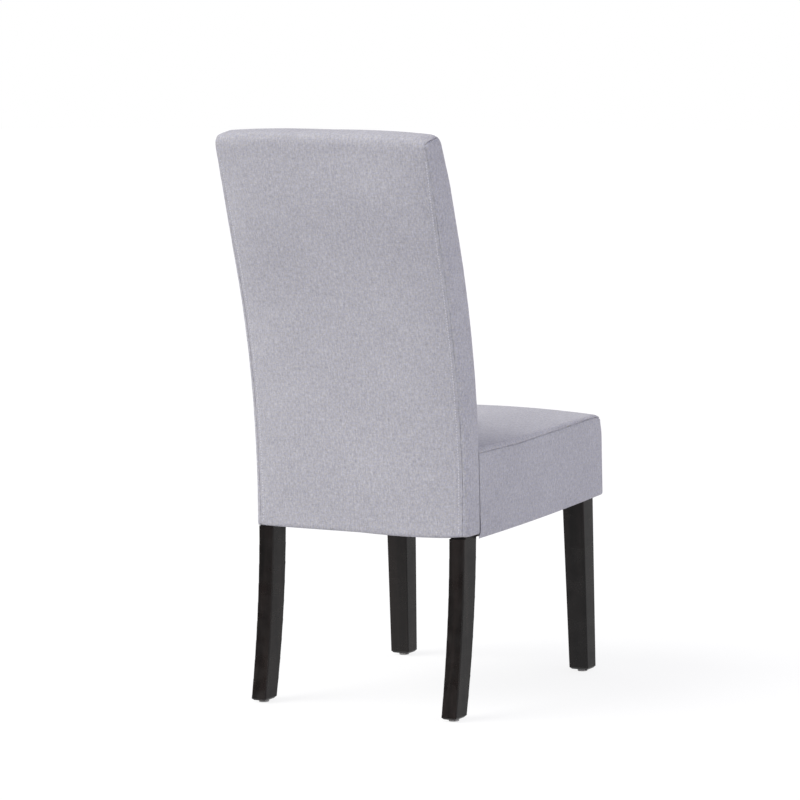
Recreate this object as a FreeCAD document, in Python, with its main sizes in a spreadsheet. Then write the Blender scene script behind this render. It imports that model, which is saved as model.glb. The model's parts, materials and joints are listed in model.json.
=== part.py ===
"""Upholstered high-back dining chair with dark wooden legs.

The chair is two bolted units. The back unit is two rear posts, which are also the rear legs, with
rails, webbing, padding and a sewn cover. The seat unit is a box of rails on two front legs, with
webbing, foam, padding and a sewn cover. The front faces -Y, left is the sitter's left (+X), and
the origin is on the floor under the middle of the chair. Sizes are in millimetres and degrees.
"""
import FreeCAD, Part
import Sketcher
import math
import os
from FreeCAD import Vector

doc = FreeCAD.newDocument("dining_chair")

# Driving dimensions
SIZES = [
    ("overall_width", 434.0, "width over the covered seat and back"),
    ("overall_height", 1016.0, "floor to the middle of the back's top edge"),
    ("joint_plane", 152.0, "how far behind the origin the seat unit meets the back unit"),
    ("seat_depth", 458.0, "front of the seat cover to the joint plane"),
    ("fabric", 1.0, "thickness of the cover fabric"),
    ("soft_gap", 0.3, "clearance between soft layers and what they lie on"),
    ("wadding", 2.4, "thickness of the fibre wadding under the cover"),
    ("leg_setback", 6.8, "side of the cover to the outer face of every leg"),
    ("glide_radius", 9.0, "nail-on foot glide"),
    ("glide_thickness", 4.0, "nail-on foot glide"),
    ("glide_recess", 1.6, "depth of the glide's recess for the nail head"),
    ("nail_radius", 1.3, "glide nail shank"),
    ("nail_length", 18.0, "glide nail under its head"),
    ("nail_head_radius", 3.2, "glide nail head"),
    ("nail_head_thickness", 1.2, "glide nail head"),
    ("metal_clearance", 0.1, "radial clearance of pins, screws and dowels in their holes"),
    ("post_width", 30.5, "rear post, side to side"),
    ("post_depth", 43.5, "rear post, front to back at the waist"),
    ("post_foot_depth", 38.0, "rear post, front to back at the foot"),
    ("post_top", 26.0, "drop from the back's top edge to the rear post's top rear corner"),
    ("waist_height", 395.0, "height where the rear post stands upright"),
    ("foot_kick", 43.0, "how far the rear leg sweeps back between the waist and the foot"),
    ("leg_shoulder", 5.0, "step back from the post to the bare leg, just under the cover"),
    ("lean_angle", 14.3, "lean of the upper back from upright"),
    ("rear_lean_radius", 1540.0, "bend of the post's rear face above the waist"),
    ("front_lean_radius", 1100.0, "bend of the post's front face above the waist"),
    ("edge_rounding", 2.0, "rounding of the legs' long edges"),
    ("foot_bevel", 4.0, "bevel round the foot of every leg"),
    ("cover_bottom", 312.0, "height of the back cover's lower edge"),
    ("face_bend_start", 50.0, "waist to where the back's padded face starts to lean"),
    ("face_radius", 1450.0, "bend of the back's padded face"),
    ("face_angle", 15.4, "lean of the back's padded face"),
    ("top_tilt", 6.0, "slope of the back's top edge down to the rear"),
    ("top_crown", 6.5, "rise of the back's top edge at its middle"),
    ("top_rear_radius", 18.0, "rounding of the back's top rear edge"),
    ("top_front_radius", 12.0, "rounding of the back's top front edge"),
    ("back_corner_radius", 9.0, "rounding of the back's side edges"),
    ("back_seam_inset", 10.0, "side of the back to the seam line"),
    ("rear_panel", 3.0, "thickness of the fibreboard rear panel"),
    ("panel_top_drop", 4.0, "post top to panel top, along the post"),
    ("bottom_rail_height", 78.0, "lowest back rail"),
    ("bottom_rail_setback", 0.3, "post front face to the lowest rail's front face, at the rail's foot"),
    ("back_rail_thickness", 20.0, "middle and top back rails"),
    ("drawn_rise", 595.0, "rise of the post over its waist that the next places up the back are drawn for"),
    ("middle_rail_level", 230.0, "waist to the middle rail's centre"),
    ("middle_rail_height", 50.0, "middle back rail"),
    ("top_rail_height", 60.0, "top back rail"),
    ("top_rail_drop", 3.0, "post top to top rail, along the post"),
    ("base_cloth", 0.7, "thickness of the cloth under the back unit and the seat"),
    ("strap_width", 50.0, "elastic webbing"),
    ("strap_thickness", 1.5, "elastic webbing"),
    ("strap_setback", 5.0, "frame edge to the end of a webbing strap"),
    ("back_strap_first", 175.0, "waist to the lowest back strap"),
    ("back_strap_step", 88.0, "spacing of the back straps"),
    ("seat_strap_step_x", 84.0, "side-to-side spacing of the lengthwise seat straps"),
    ("seat_strap_step_y", 86.0, "front-to-back spacing of the crosswise seat straps"),
    ("back_foam_bottom", 145.0, "waist to where the back foam starts"),
    ("seat_bottom_rear", 310.0, "lower edge of the seat cover at the joint"),
    ("seat_rise", 12.0, "rise of the seat's lower edge from rear to front"),
    ("seat_edge_rear", 461.0, "height of the seat's side edge at the joint"),
    ("seat_edge_front", 474.0, "height of the seat's side edge at the front"),
    ("seat_crown", 4.5, "rise of the seat at its middle over its side edges"),
    ("seat_front_radius", 26.0, "rounding of the seat's top front edge"),
    ("seat_side_radius", 8.0, "rounding of the seat's side edges and front corners"),
    ("seat_rear_radius", 3.0, "rounding of the seat's rear edges"),
    ("seat_seam_inset", 2.5, "side of the seat to the seam line"),
    ("flange", 30.0, "width of the cover turned in under the seat rails"),
    ("rail_thickness", 20.0, "seat rails"),
    ("rail_height", 84.0, "seat rails"),
    ("front_leg_setback", 38.5, "front of the seat cover to the front leg's front face"),
    ("front_leg_width", 44.0, "front leg at its top, side to side"),
    ("front_leg_depth", 38.5, "front leg at its top, front to back"),
    ("front_foot_width", 38.5, "front leg at its foot, side to side"),
    ("front_foot_depth", 32.5, "front leg at its foot, front to back"),
    ("taper_top", 335.0, "height where the front leg's taper starts"),
    ("leg_top_drop", 3.0, "seat rail top to front leg top"),
    ("block_leg", 72.0, "corner block, along a rail"),
    ("block_height", 46.0, "corner block, upwards"),
    ("block_lift", 18.0, "rail's lower edge to the corner block"),
    ("dowel_radius", 4.0, "frame dowels"),
    ("dowel_length", 24.0, "frame dowels"),
    ("dowel_spread", 20.0, "dowel to the middle of its rail end"),
    ("hanger_bolt_radius", 4.0, "bolt that holds a front leg to its corner block"),
    ("hanger_bolt_length", 62.0, "bolt that holds a front leg to its corner block"),
    ("hanger_bolt_grip", 25.0, "length of the hanger bolt inside the leg"),
    ("washer_radius", 9.0, "washers under the nuts and the seat bolts"),
    ("washer_thickness", 1.6, "washers under the nuts and the seat bolts"),
    ("nut_radius", 7.5, "hexagon nut, centre to corner"),
    ("nut_height", 6.5, "hexagon nut"),
    ("seat_bolt_radius", 3.0, "bolt that joins the seat unit to the back unit"),
    ("seat_bolt_length", 42.0, "bolt that joins the seat unit to the back unit"),
    ("seat_bolt_head_radius", 6.0, "seat bolt head"),
    ("seat_bolt_head_height", 4.0, "seat bolt head"),
    ("seat_bolt_socket", 2.0, "depth of the seat bolt's hexagon socket"),
    ("seat_bolt_spacing", 34.5, "rear corner block's end to the seat bolts beside it"),
    ("seat_bolt_drop", 2.0, "middle of the seat rail down to the middle of the seat bolts"),
    ("seat_bolt_rows", 36.0, "seat bolts, upwards"),
    ("insert_radius", 5.0, "threaded insert in the lowest back rail"),
    ("insert_length", 15.0, "threaded insert in the lowest back rail"),
    ("screw_radius", 2.0, "wood screws"),
    ("screw_head_radius", 4.0, "wood screws"),
    ("screw_head_height", 2.4, "wood screws"),
    ("screw_bite", 14.0, "length of a wood screw in the piece it holds to"),
    ("screw_offset", 20.0, "end of a corner block to its screw, along the rail"),
    ("rail_screw_bite", 20.0, "length of a front rail screw in the leg"),
    ("staple_crown", 10.0, "width of a staple"),
    ("staple_leg", 6.0, "length of a staple's legs"),
    ("staple_wire", 0.9, "staple wire"),
]

sheet = doc.addObject("Spreadsheet::Sheet", "Sizes")
for row, (alias, number, note) in enumerate(SIZES, 1):
    sheet.set(f"A{row}", note)
    sheet.set(f"B{row}", str(number))
    sheet.setAlias(f"B{row}", alias)
doc.recompute()


def value(expression):
    """The number that an expression over the sheet comes to."""
    return float(sheet.evalExpression(expression))


# Places that several pieces share, as expressions over the sheet
SIDE = "(Sizes.overall_width / 2)"
LEG_OUTER = f"({SIDE} - Sizes.leg_setback)"
POST_INNER = f"({LEG_OUTER} - Sizes.post_width)"
POST_MIDDLE = f"({LEG_OUTER} - Sizes.post_width / 2)"
POST_FRONT = "(Sizes.joint_plane + Sizes.fabric + Sizes.soft_gap)"
POST_REAR = f"({POST_FRONT} + Sizes.post_depth)"
LEG_RISE = "(Sizes.waist_height - Sizes.glide_thickness)"
FRONT_KICK = "(Sizes.foot_kick + Sizes.post_depth - Sizes.post_foot_depth)"
REAR_KICK_RADIUS = f"(({LEG_RISE}^2 + Sizes.foot_kick^2) / (2 * Sizes.foot_kick))"
FRONT_KICK_RADIUS = f"(({LEG_RISE}^2 + {FRONT_KICK}^2) / (2 * {FRONT_KICK}))"
LEAN_SIN = "sin(Sizes.lean_angle)"
LEAN_COS = "cos(Sizes.lean_angle)"
POST_TOP = "(Sizes.overall_height - Sizes.post_top)"
COVER_TO_POST = "(Sizes.fabric + 2 * Sizes.soft_gap + Sizes.wadding)"
SKIN = "(Sizes.fabric + Sizes.soft_gap)"

SEAT_FRONT = "(Sizes.joint_plane - Sizes.seat_depth)"
SEAT_REAR = "(Sizes.joint_plane - Sizes.soft_gap)"
LEG_FRONT = f"({SEAT_FRONT} + Sizes.front_leg_setback)"
LEG_REAR = f"({LEG_FRONT} + Sizes.front_leg_depth)"
LEG_INNER = f"({LEG_OUTER} - Sizes.front_leg_width)"
SIDE_RAIL_INNER = f"({LEG_OUTER} - Sizes.rail_thickness)"
FRONT_RAIL_FRONT = f"({LEG_FRONT} - Sizes.rail_thickness)"
REAR_RAIL_REAR = f"({SEAT_REAR} - {SKIN})"
REAR_RAIL_FRONT = f"({REAR_RAIL_REAR} - Sizes.rail_thickness)"
REAR_BLOCK_LEG = "(Sizes.block_leg * 0.75)"
REAR_BLOCK_END = f"({SIDE_RAIL_INNER} - {REAR_BLOCK_LEG})"

bodies = []


def keep(obj, name):
    """Give a finished sub-part its name and put it on the list to be written."""
    obj.Label = name
    bodies.append(obj)
    return obj


def up_post(rise):
    """Height of a place up the back. Places spread as the post above the waist gets taller."""
    return f"(Sizes.waist_height + {rise} * ({POST_TOP} - Sizes.waist_height) / Sizes.drawn_rise)"


def seat_under(y):
    """Height of the seat cover's lower edge at a place along Y."""
    return f"(Sizes.seat_bottom_rear + Sizes.seat_rise * (Sizes.joint_plane - {y}) / Sizes.seat_depth)"


def rail_under(y):
    """Height of the seat rails' lower edge at a place along Y."""
    return f"({seat_under(y)} + {SKIN})"


def rail_top(y):
    """Height of the seat rails' upper edge at a place along Y."""
    return f"({rail_under(y)} + Sizes.rail_height)"


def rear_curve(z, offset="0"):
    """Y of the post's rear face at a height below the waist, moved forward by an offset."""
    radius = f"({REAR_KICK_RADIUS} + {offset})"
    return f"({POST_REAR} + {REAR_KICK_RADIUS} - sqrt({radius}^2 - (Sizes.waist_height - {z})^2))"


def front_curve(z):
    """Y of the post's front face at a height below the waist."""
    radius = FRONT_KICK_RADIUS
    return f"({POST_FRONT} + {radius} - sqrt({radius}^2 - (Sizes.waist_height - {z})^2))"


SHOULDER_LEVEL = "(Sizes.cover_bottom - 2 * Sizes.soft_gap)"
LOW_RAIL_UNDER = "(Sizes.cover_bottom + Sizes.fabric + Sizes.base_cloth + Sizes.soft_gap)"
LOW_RAIL_FRONT = f"({front_curve(LOW_RAIL_UNDER)} + Sizes.bottom_rail_setback)"


def on_rear_line(along, forward):
    """A point on the straight upper post: down from its top rear corner, and forward from it."""
    y_end = f"({POST_REAR} + Sizes.rear_lean_radius * (1 - {LEAN_COS}))"
    z_end = f"(Sizes.waist_height + Sizes.rear_lean_radius * {LEAN_SIN})"
    y_top = f"({y_end} + ({POST_TOP} - {z_end}) * tan(Sizes.lean_angle))"
    y = f"({y_top} - {along} * {LEAN_SIN} - {forward} * {LEAN_COS})"
    z = f"({POST_TOP} - {along} * {LEAN_COS} + {forward} * {LEAN_SIN})"
    return y, z


def on_arc(y_face, radius, angle):
    """A point on a face that bends back above the waist, at an angle of its bend."""
    y = f"({y_face} + {radius} * (1 - cos({angle})))"
    z = f"(Sizes.waist_height + {radius} * sin({angle}))"
    return y, z


# Shaping helpers
def origin_plane(body, role):
    for feature in body.Origin.OriginFeatures:
        if feature.Role == role:
            return feature
    raise ValueError(role)


def arc_between(start, end, radius, side):
    """A minor arc between two points, its centre to the left (1) or right (-1) of the chord."""
    chord = end - start
    half = chord.Length / 2
    normal = Vector(-chord.y, chord.x, 0).normalize() * side
    centre = (start + end) * 0.5 + normal * math.sqrt(radius * radius - half * half)
    first = math.atan2(start.y - centre.y, start.x - centre.x)
    last = math.atan2(end.y - centre.y, end.x - centre.x)
    if side < 0:
        first, last = last, first
    circle = Part.Circle(centre, Vector(0, 0, 1), radius)
    return Part.ArcOfCircle(circle, first, last)


def outline_sketch(body, role, offset, points):
    """A closed outline. A point is (across, up), with (radius, side) after it if an arc starts there."""
    sketch = body.newObject("Sketcher::SketchObject", "Outline")
    sketch.AttachmentSupport = [(origin_plane(body, role), "")]
    sketch.MapMode = "FlatFace"
    sketch.setExpression("AttachmentOffset.Base.z", offset)
    corners = [Vector(value(point[0]), value(point[1]), 0) for point in points]
    ends = []
    for index, point in enumerate(points):
        start = corners[index]
        end = corners[(index + 1) % len(points)]
        if len(point) == 2:
            geometry = sketch.addGeometry(Part.LineSegment(start, end), False)
            ends.append((geometry, 1, 2))
            continue
        radius, side = point[2], point[3]
        geometry = sketch.addGeometry(arc_between(start, end, value(radius), side), False)
        ends.append((geometry, 1, 2) if side > 0 else (geometry, 2, 1))
    for index, point in enumerate(points):
        geometry, first, last = ends[index]
        after, after_first, _ = ends[(index + 1) % len(points)]
        sketch.addConstraint(Sketcher.Constraint("Coincident", geometry, last, after, after_first))
    for index, point in enumerate(points):
        geometry, first, last = ends[index]
        for kind, expression, place in (
            ("DistanceX", point[0], corners[index].x),
            ("DistanceY", point[1], corners[index].y),
        ):
            number = sketch.addConstraint(Sketcher.Constraint(kind, -1, 1, geometry, first, place))
            sketch.setExpression(f"Constraints[{number}]", expression)
        if len(point) > 2:
            number = sketch.addConstraint(Sketcher.Constraint("Radius", geometry, value(point[2])))
            sketch.setExpression(f"Constraints[{number}]", point[2])
    return sketch


def prism(name, role, start, length, points):
    """A body padded from an outline: along X from the YZ plane, or up from the XY plane."""
    body = doc.addObject("PartDesign::Body", name)
    sketch = outline_sketch(body, role, start, points)
    pad = body.newObject("PartDesign::Pad", "Pad")
    pad.Profile = sketch
    pad.setExpression("Length", length)
    sketch.Visibility = False
    return body


def block(name, low, size):
    """A box from its low corner, every size and place bound to the sheet."""
    box = doc.addObject("Part::Box", name)
    for prop, expression in zip(("Length", "Width", "Height"), size):
        box.setExpression(prop, expression)
    for axis, expression in zip("xyz", low):
        box.setExpression(f"Placement.Base.{axis}", expression)
    return box


def aim(obj, place, direction):
    """Stand an object that points up along another direction, at a place bound to the sheet."""
    turn = FreeCAD.Rotation(Vector(0, 0, 1), Vector(*direction))
    obj.Placement = FreeCAD.Placement(Vector(0, 0, 0), turn)
    for axis, expression in zip("xyz", place):
        obj.setExpression(f"Placement.Base.{axis}", expression)
    return obj


def ahead(place, direction, distance):
    """The place that lies a distance along a direction."""
    length = math.sqrt(sum(part * part for part in direction))
    steps = [part / length for part in direction]
    return tuple(f"({base} + {step} * ({distance}))" for base, step in zip(place, steps))


def rod(name, radius, length, place, direction):
    cylinder = doc.addObject("Part::Cylinder", name)
    cylinder.setExpression("Radius", radius)
    cylinder.setExpression("Height", length)
    return aim(cylinder, place, direction)


def taper(name, radius, end_radius, length, place, direction):
    cone = doc.addObject("Part::Cone", name)
    cone.setExpression("Radius1", radius)
    cone.setExpression("Radius2", end_radius)
    cone.setExpression("Height", length)
    return aim(cone, place, direction)


def joined(name, pieces):
    fuse = doc.addObject("Part::MultiFuse", name)
    fuse.Shapes = pieces
    return fuse


def group(name, pieces):
    compound = doc.addObject("Part::Compound", name)
    compound.Links = pieces
    return compound


def cut(name, base, tools):
    """The base without the tools."""
    result = doc.addObject("Part::Cut", name)
    result.Base = base
    result.Tool = group(name + "_tools", tools) if len(tools) > 1 else tools[0]
    return result


def shaped(name, shape):
    feature = doc.addObject("Part::Feature", name)
    feature.Shape = shape
    feature.Placement = FreeCAD.Placement()
    return feature


def long_edges(shape, planes, level):
    """Edges that run along a leg in the given side planes, above a level."""
    names = []
    for index, edge in enumerate(shape.Edges, 1):
        box = edge.BoundBox
        flat = box.XLength < 0.01 and any(abs(box.XMin - plane) < 0.01 for plane in planes)
        if flat and box.ZLength > level:
            names.append(f"Edge{index}")
    return names


SIDES = (("left", 1), ("right", -1))

# Holes and fasteners collect here before the pieces that they pass through are cut
rail_holes = {}


def drill(piece, tool):
    rail_holes.setdefault(piece, []).append(tool)


def finish(name, blank):
    """Cut a piece's holes, if it has any, and keep it."""
    holes = rail_holes.get(name, [])
    if holes:
        blank = cut(name + "_cut", blank, holes)
    return keep(blank, name)


# Dowels: each stands across a joint, half in each piece
def dowels(name, joints):
    """joints: (place, direction, first piece, second piece)."""
    pins = []
    bore = "(Sizes.dowel_radius + Sizes.metal_clearance)"
    bore_length = "(Sizes.dowel_length + 2 * Sizes.metal_clearance)"
    for number, (place, direction, first, second) in enumerate(joints, 1):
        start = ahead(place, direction, "-Sizes.dowel_length / 2")
        bore_start = ahead(place, direction, "-Sizes.dowel_length / 2 - Sizes.metal_clearance")
        pin = rod(f"{name}_{number}", "Sizes.dowel_radius", "Sizes.dowel_length", start, direction)
        pins.append(pin)
        hole = rod(f"{name}_hole_{number}", bore, bore_length, bore_start, direction)
        drill(first, hole)
        drill(second, hole)
    keep(group(name, pins), name)


def back_rail_centre(which):
    """Centre of a back rail's section, and how far it leans."""
    behind = "(Sizes.rear_panel + Sizes.soft_gap + Sizes.back_rail_thickness / 2)"
    if which == "top":
        along = "(Sizes.top_rail_drop + Sizes.top_rail_height / 2)"
        return (*on_rear_line(along, behind), "Sizes.lean_angle")
    level = up_post("Sizes.middle_rail_level")
    angle = f"asin(({level} - Sizes.waist_height) / Sizes.rear_lean_radius)"
    y = f"({POST_REAR} + Sizes.rear_lean_radius - (Sizes.rear_lean_radius + {behind}) * cos({angle}))"
    z = f"(Sizes.waist_height + (Sizes.rear_lean_radius + {behind}) * sin({angle}))"
    return y, z, angle


def leaning_rectangle(y, z, angle, depth, height):
    """Corners of a rectangle about a centre, leaned back by an angle."""
    corners = []
    for across, up in ((-1, -1), (1, -1), (1, 1), (-1, 1)):
        out = f"({across} * {depth} / 2)"
        rise = f"({up} * {height} / 2)"
        corners.append((
            f"({y} + {out} * cos({angle}) + {rise} * sin({angle}))",
            f"({z} - {out} * sin({angle}) + {rise} * cos({angle}))",
        ))
    return corners


def back_rails():
    width = f"(2 * {POST_INNER})"
    joints = []
    depth = f"({POST_REAR} - Sizes.rear_panel - Sizes.soft_gap - {LOW_RAIL_FRONT})"
    low = block("back_bottom_rail_blank", (f"-{POST_INNER}", LOW_RAIL_FRONT, LOW_RAIL_UNDER),
                (width, depth, "Sizes.bottom_rail_height"))
    rails = {"back_bottom_rail": low}
    centres = {"back_bottom_rail": (
        f"({LOW_RAIL_FRONT} + {depth} / 2)", f"({LOW_RAIL_UNDER} + Sizes.bottom_rail_height / 2)", "0")}
    for which in ("middle", "top"):
        name = f"back_{which}_rail"
        y, z, angle = back_rail_centre(which)
        height = f"Sizes.{which}_rail_height"
        corners = leaning_rectangle(y, z, angle, "Sizes.back_rail_thickness", height)
        rails[name] = prism(name + "_blank", "YZ_Plane", f"-{POST_INNER}", width, corners)
        centres[name] = (y, z, angle)
    for name, (y, z, angle) in centres.items():
        for side, sign in SIDES:
            for up in (-1, 1):
                spread = f"({up} * Sizes.dowel_spread * 0.8)"
                place = (f"{sign} * {POST_INNER}",
                         f"({y} + {spread} * sin({angle}))", f"({z} + {spread} * cos({angle}))")
                joints.append((place, (1, 0, 0), name, f"rear_post_{side}"))
    dowels("back_dowels", joints)
    return rails


def foot_bevel(leg, sign, inner, front, rear):
    """Bevel a foot's lower edges: what goes is a block round the foot, less the bevelled foot."""
    size = "Sizes.foot_bevel"
    floor = "Sizes.glide_thickness"
    low, high = (inner, LEG_OUTER) if sign > 0 else (f"(-{LEG_OUTER})", f"(-{inner})")
    around = block(f"{leg}_foot_block", (f"{low} - 2 * {size}", f"{front} - 2 * {size}", floor),
                   (f"{high} - {low} + 4 * {size}", f"{rear} - {front} + 4 * {size}", f"2 * {size}"))
    # A wedge widens along its own Y, so it is turned to widen upwards
    foot = doc.addObject("Part::Wedge", f"{leg}_foot")
    foot.Placement = FreeCAD.Placement(Vector(0, 0, 0), FreeCAD.Rotation(Vector(1, 0, 0), 90))
    sides = {
        "Xmin": f"{low} + {size}", "Xmax": f"{high} - {size}",
        "X2min": f"{low} - {size}", "X2max": f"{high} + {size}",
        "Ymin": floor, "Ymax": f"{floor} + 2 * {size}",
        "Zmin": f"{size} - {rear}", "Zmax": f"-{front} - {size}",
        "Z2min": f"-{rear} - {size}", "Z2max": f"{size} - {front}",
    }
    for prop, expression in sides.items():
        foot.setExpression(prop, expression)
    drill(leg, cut(f"{leg}_bevel", around, [foot]))


def rear_post(side, sign):
    """A plank with a sabre-curved leg below the waist and a leaning stile above it.

    The bare leg steps back under the cover, so that the padded post above it stays slim."""
    rear_end = on_arc(POST_REAR, "Sizes.rear_lean_radius", "Sizes.lean_angle")
    front_end = on_arc(POST_FRONT, "Sizes.front_lean_radius", "Sizes.lean_angle")
    top_rear = on_rear_line("0", "0")
    deep = f"({rear_end[0]} - {front_end[0]})"
    high = f"({rear_end[1]} - {front_end[1]})"
    top_depth = f"({deep} * {LEAN_COS} - {high} * {LEAN_SIN})"
    top_front = on_rear_line("0", top_depth)
    step = "Sizes.leg_shoulder"
    outline = [
        (f"({POST_FRONT} + {FRONT_KICK} + {step})", "Sizes.glide_thickness"),
        (f"({POST_REAR} + Sizes.foot_kick + {step})", "Sizes.glide_thickness", REAR_KICK_RADIUS, -1),
        (f"({rear_curve(SHOULDER_LEVEL)} + {step})", SHOULDER_LEVEL),
        (rear_curve(SHOULDER_LEVEL), SHOULDER_LEVEL, REAR_KICK_RADIUS, -1),
        (POST_REAR, "Sizes.waist_height", "Sizes.rear_lean_radius", -1),
        rear_end,
        top_rear,
        top_front,
        (*front_end, "Sizes.front_lean_radius", 1),
        (POST_FRONT, "Sizes.waist_height", FRONT_KICK_RADIUS, 1),
        (front_curve(SHOULDER_LEVEL), SHOULDER_LEVEL),
        (f"({front_curve(SHOULDER_LEVEL)} + {step})", SHOULDER_LEVEL, FRONT_KICK_RADIUS, 1),
    ]
    name = f"rear_post_{side}"
    start = POST_INNER if sign > 0 else f"-{LEG_OUTER}"
    body = prism(name + "_blank", "YZ_Plane", start, "Sizes.post_width", outline)
    doc.recompute()
    planes = (sign * value(POST_INNER), sign * value(LEG_OUTER))
    stile = body.Tip
    rounding = body.newObject("PartDesign::Fillet", "LongEdges")
    rounding.Base = (stile, long_edges(stile.Shape, planes, 60))
    rounding.setExpression("Radius", "Sizes.edge_rounding")
    foot_bevel(name, sign, POST_INNER, outline[0][0], outline[1][0])
    return body


def front_leg(side, sign):
    """A square leg, straight on its outer and front faces and tapered on the other two."""
    body = doc.addObject("PartDesign::Body", f"front_leg_{side}_blank")

    def section(level, width, depth):
        inner = f"{sign} * ({LEG_OUTER} - {width})"
        outer = f"{sign} * {LEG_OUTER}"
        rear = f"({LEG_FRONT} + {depth})"
        corners = [(inner, LEG_FRONT), (outer, LEG_FRONT), (outer, rear), (inner, rear)]
        return outline_sketch(body, "XY_Plane", level, corners)

    foot = section("Sizes.glide_thickness", "Sizes.front_foot_width", "Sizes.front_foot_depth")
    top = section("Sizes.taper_top", "Sizes.front_leg_width", "Sizes.front_leg_depth")
    loft = body.newObject("PartDesign::AdditiveLoft", "Taper")
    loft.Profile = foot
    loft.Sections = [top]
    loft.Ruled = True
    head = section("Sizes.taper_top", "Sizes.front_leg_width", "Sizes.front_leg_depth")
    pad = body.newObject("PartDesign::Pad", "Head")
    pad.Profile = head
    pad.setExpression("Length", f"{rail_top(LEG_REAR)} - Sizes.leg_top_drop - Sizes.taper_top")
    doc.recompute()
    names = []
    for index, edge in enumerate(body.Shape.Edges, 1):
        box = edge.BoundBox
        if box.ZLength > value("Sizes.taper_top") / 2:
            names.append(f"Edge{index}")
    rounding = body.newObject("PartDesign::Fillet", "LongEdges")
    rounding.Base = (pad, names)
    rounding.setExpression("Radius", "Sizes.edge_rounding")
    foot_bevel(f"front_leg_{side}", sign, f"({LEG_OUTER} - Sizes.front_foot_width)", LEG_FRONT,
               f"({LEG_FRONT} + Sizes.front_foot_depth)")
    return body


def foot_places():
    """Centre of each foot, named for its glide."""
    front_y = f"({LEG_FRONT} + Sizes.front_foot_depth / 2)"
    front_x = f"({LEG_OUTER} - Sizes.front_foot_width / 2)"
    rear_y = f"({POST_REAR} + Sizes.foot_kick + Sizes.leg_shoulder - Sizes.post_foot_depth / 2)"
    places = []
    for side, sign in SIDES:
        places.append((f"front_{side}", f"front_leg_{side}", f"{sign} * {front_x}", front_y))
        places.append((f"rear_{side}", f"rear_post_{side}", f"{sign} * {POST_MIDDLE}", rear_y))
    return places


def glides():
    """Nylon glides under the feet, each held by one nail from below."""
    nails = []
    up = (0, 0, 1)
    bore = "(Sizes.nail_radius + Sizes.metal_clearance)"
    head_bore = "(Sizes.nail_head_radius + Sizes.metal_clearance)"
    head_low = "(Sizes.glide_recess - Sizes.nail_head_thickness)"
    for name, leg, x, y in foot_places():
        floor = (x, y, "0")
        disc = rod(f"glide_{name}_disc", "Sizes.glide_radius", "Sizes.glide_thickness", floor, up)
        recess = rod(f"glide_{name}_recess", head_bore, "Sizes.glide_recess", floor, up)
        hole = rod(f"glide_{name}_hole", bore, "Sizes.glide_thickness", floor, up)
        keep(cut(f"glide_{name}_cut", disc, [recess, hole]), f"glide_{name}")
        head = rod(f"nail_head_{name}", "Sizes.nail_head_radius", "Sizes.nail_head_thickness",
                   (x, y, head_low), up)
        shank = rod(f"nail_shank_{name}", "Sizes.nail_radius", "Sizes.nail_length",
                    (x, y, "Sizes.glide_recess"), up)
        nails.append(joined(f"nail_{name}", [head, shank]))
        drill(leg, rod(f"nail_bore_{name}", bore, "Sizes.nail_length + Sizes.metal_clearance",
                       (x, y, "Sizes.glide_recess"), up))
    keep(group("glide_nails", nails), "glide_nails")


def sloped(y_low, y_high, under, over):
    """Outline that follows the seat's slope between two places along Y."""
    return [(y_low, under(y_low)), (y_high, under(y_high)), (y_high, over(y_high)), (y_low, over(y_low))]


def seat_rails():
    width = f"(2 * {LEG_OUTER})"
    rails = {
        "seat_front_rail": prism("seat_front_rail_blank", "YZ_Plane", f"-{LEG_OUTER}", width,
                                 sloped(FRONT_RAIL_FRONT, LEG_FRONT, rail_under, rail_top)),
        "seat_rear_rail": prism("seat_rear_rail_blank", "YZ_Plane", f"-{LEG_OUTER}", width,
                                sloped(REAR_RAIL_FRONT, REAR_RAIL_REAR, rail_under, rail_top)),
    }
    joints = []
    for side, sign in SIDES:
        name = f"seat_side_rail_{side}"
        start = SIDE_RAIL_INNER if sign > 0 else f"-{LEG_OUTER}"
        rails[name] = prism(name + "_blank", "YZ_Plane", start, "Sizes.rail_thickness",
                            sloped(LEG_REAR, REAR_RAIL_FRONT, rail_under, rail_top))
        for y, other in ((LEG_REAR, f"front_leg_{side}"), (REAR_RAIL_FRONT, "seat_rear_rail")):
            for up in (-1, 1):
                z = f"({rail_under(y)} + Sizes.rail_height / 2 + {up} * Sizes.dowel_spread)"
                place = (f"{sign} * ({LEG_OUTER} - Sizes.rail_thickness / 2)", y, z)
                joints.append((place, (0, 1, 0), name, other))
    dowels("seat_dowels", joints)
    return rails


def wood_screw(name, place, direction, length):
    """A countersunk screw: the place is the middle of its head's face, and it points ahead."""
    head = taper(name + "_head", "Sizes.screw_head_radius", "Sizes.screw_radius", "Sizes.screw_head_height",
                 place, direction)
    shank_start = ahead(place, direction, "Sizes.screw_head_height")
    shank = rod(name + "_shank", "Sizes.screw_radius",
                f"({length} - Sizes.screw_head_height - 2 * Sizes.screw_radius)", shank_start, direction)
    tip_start = ahead(place, direction, f"({length} - 2 * Sizes.screw_radius)")
    tip = taper(name + "_tip", "Sizes.screw_radius", "0", "2 * Sizes.screw_radius", tip_start, direction)
    return joined(name, [head, shank, tip])


def screw_bore(name, place, direction, length):
    """The hole for a wood screw, with its countersink."""
    gap = "Sizes.metal_clearance"
    head = taper(name + "_sink", f"Sizes.screw_head_radius + {gap}", f"Sizes.screw_radius + {gap}",
                 "Sizes.screw_head_height", place, direction)
    shank = rod(name + "_bore", f"Sizes.screw_radius + {gap}", f"{length} + {gap}", place, direction)
    return joined(name, [head, shank])


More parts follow.
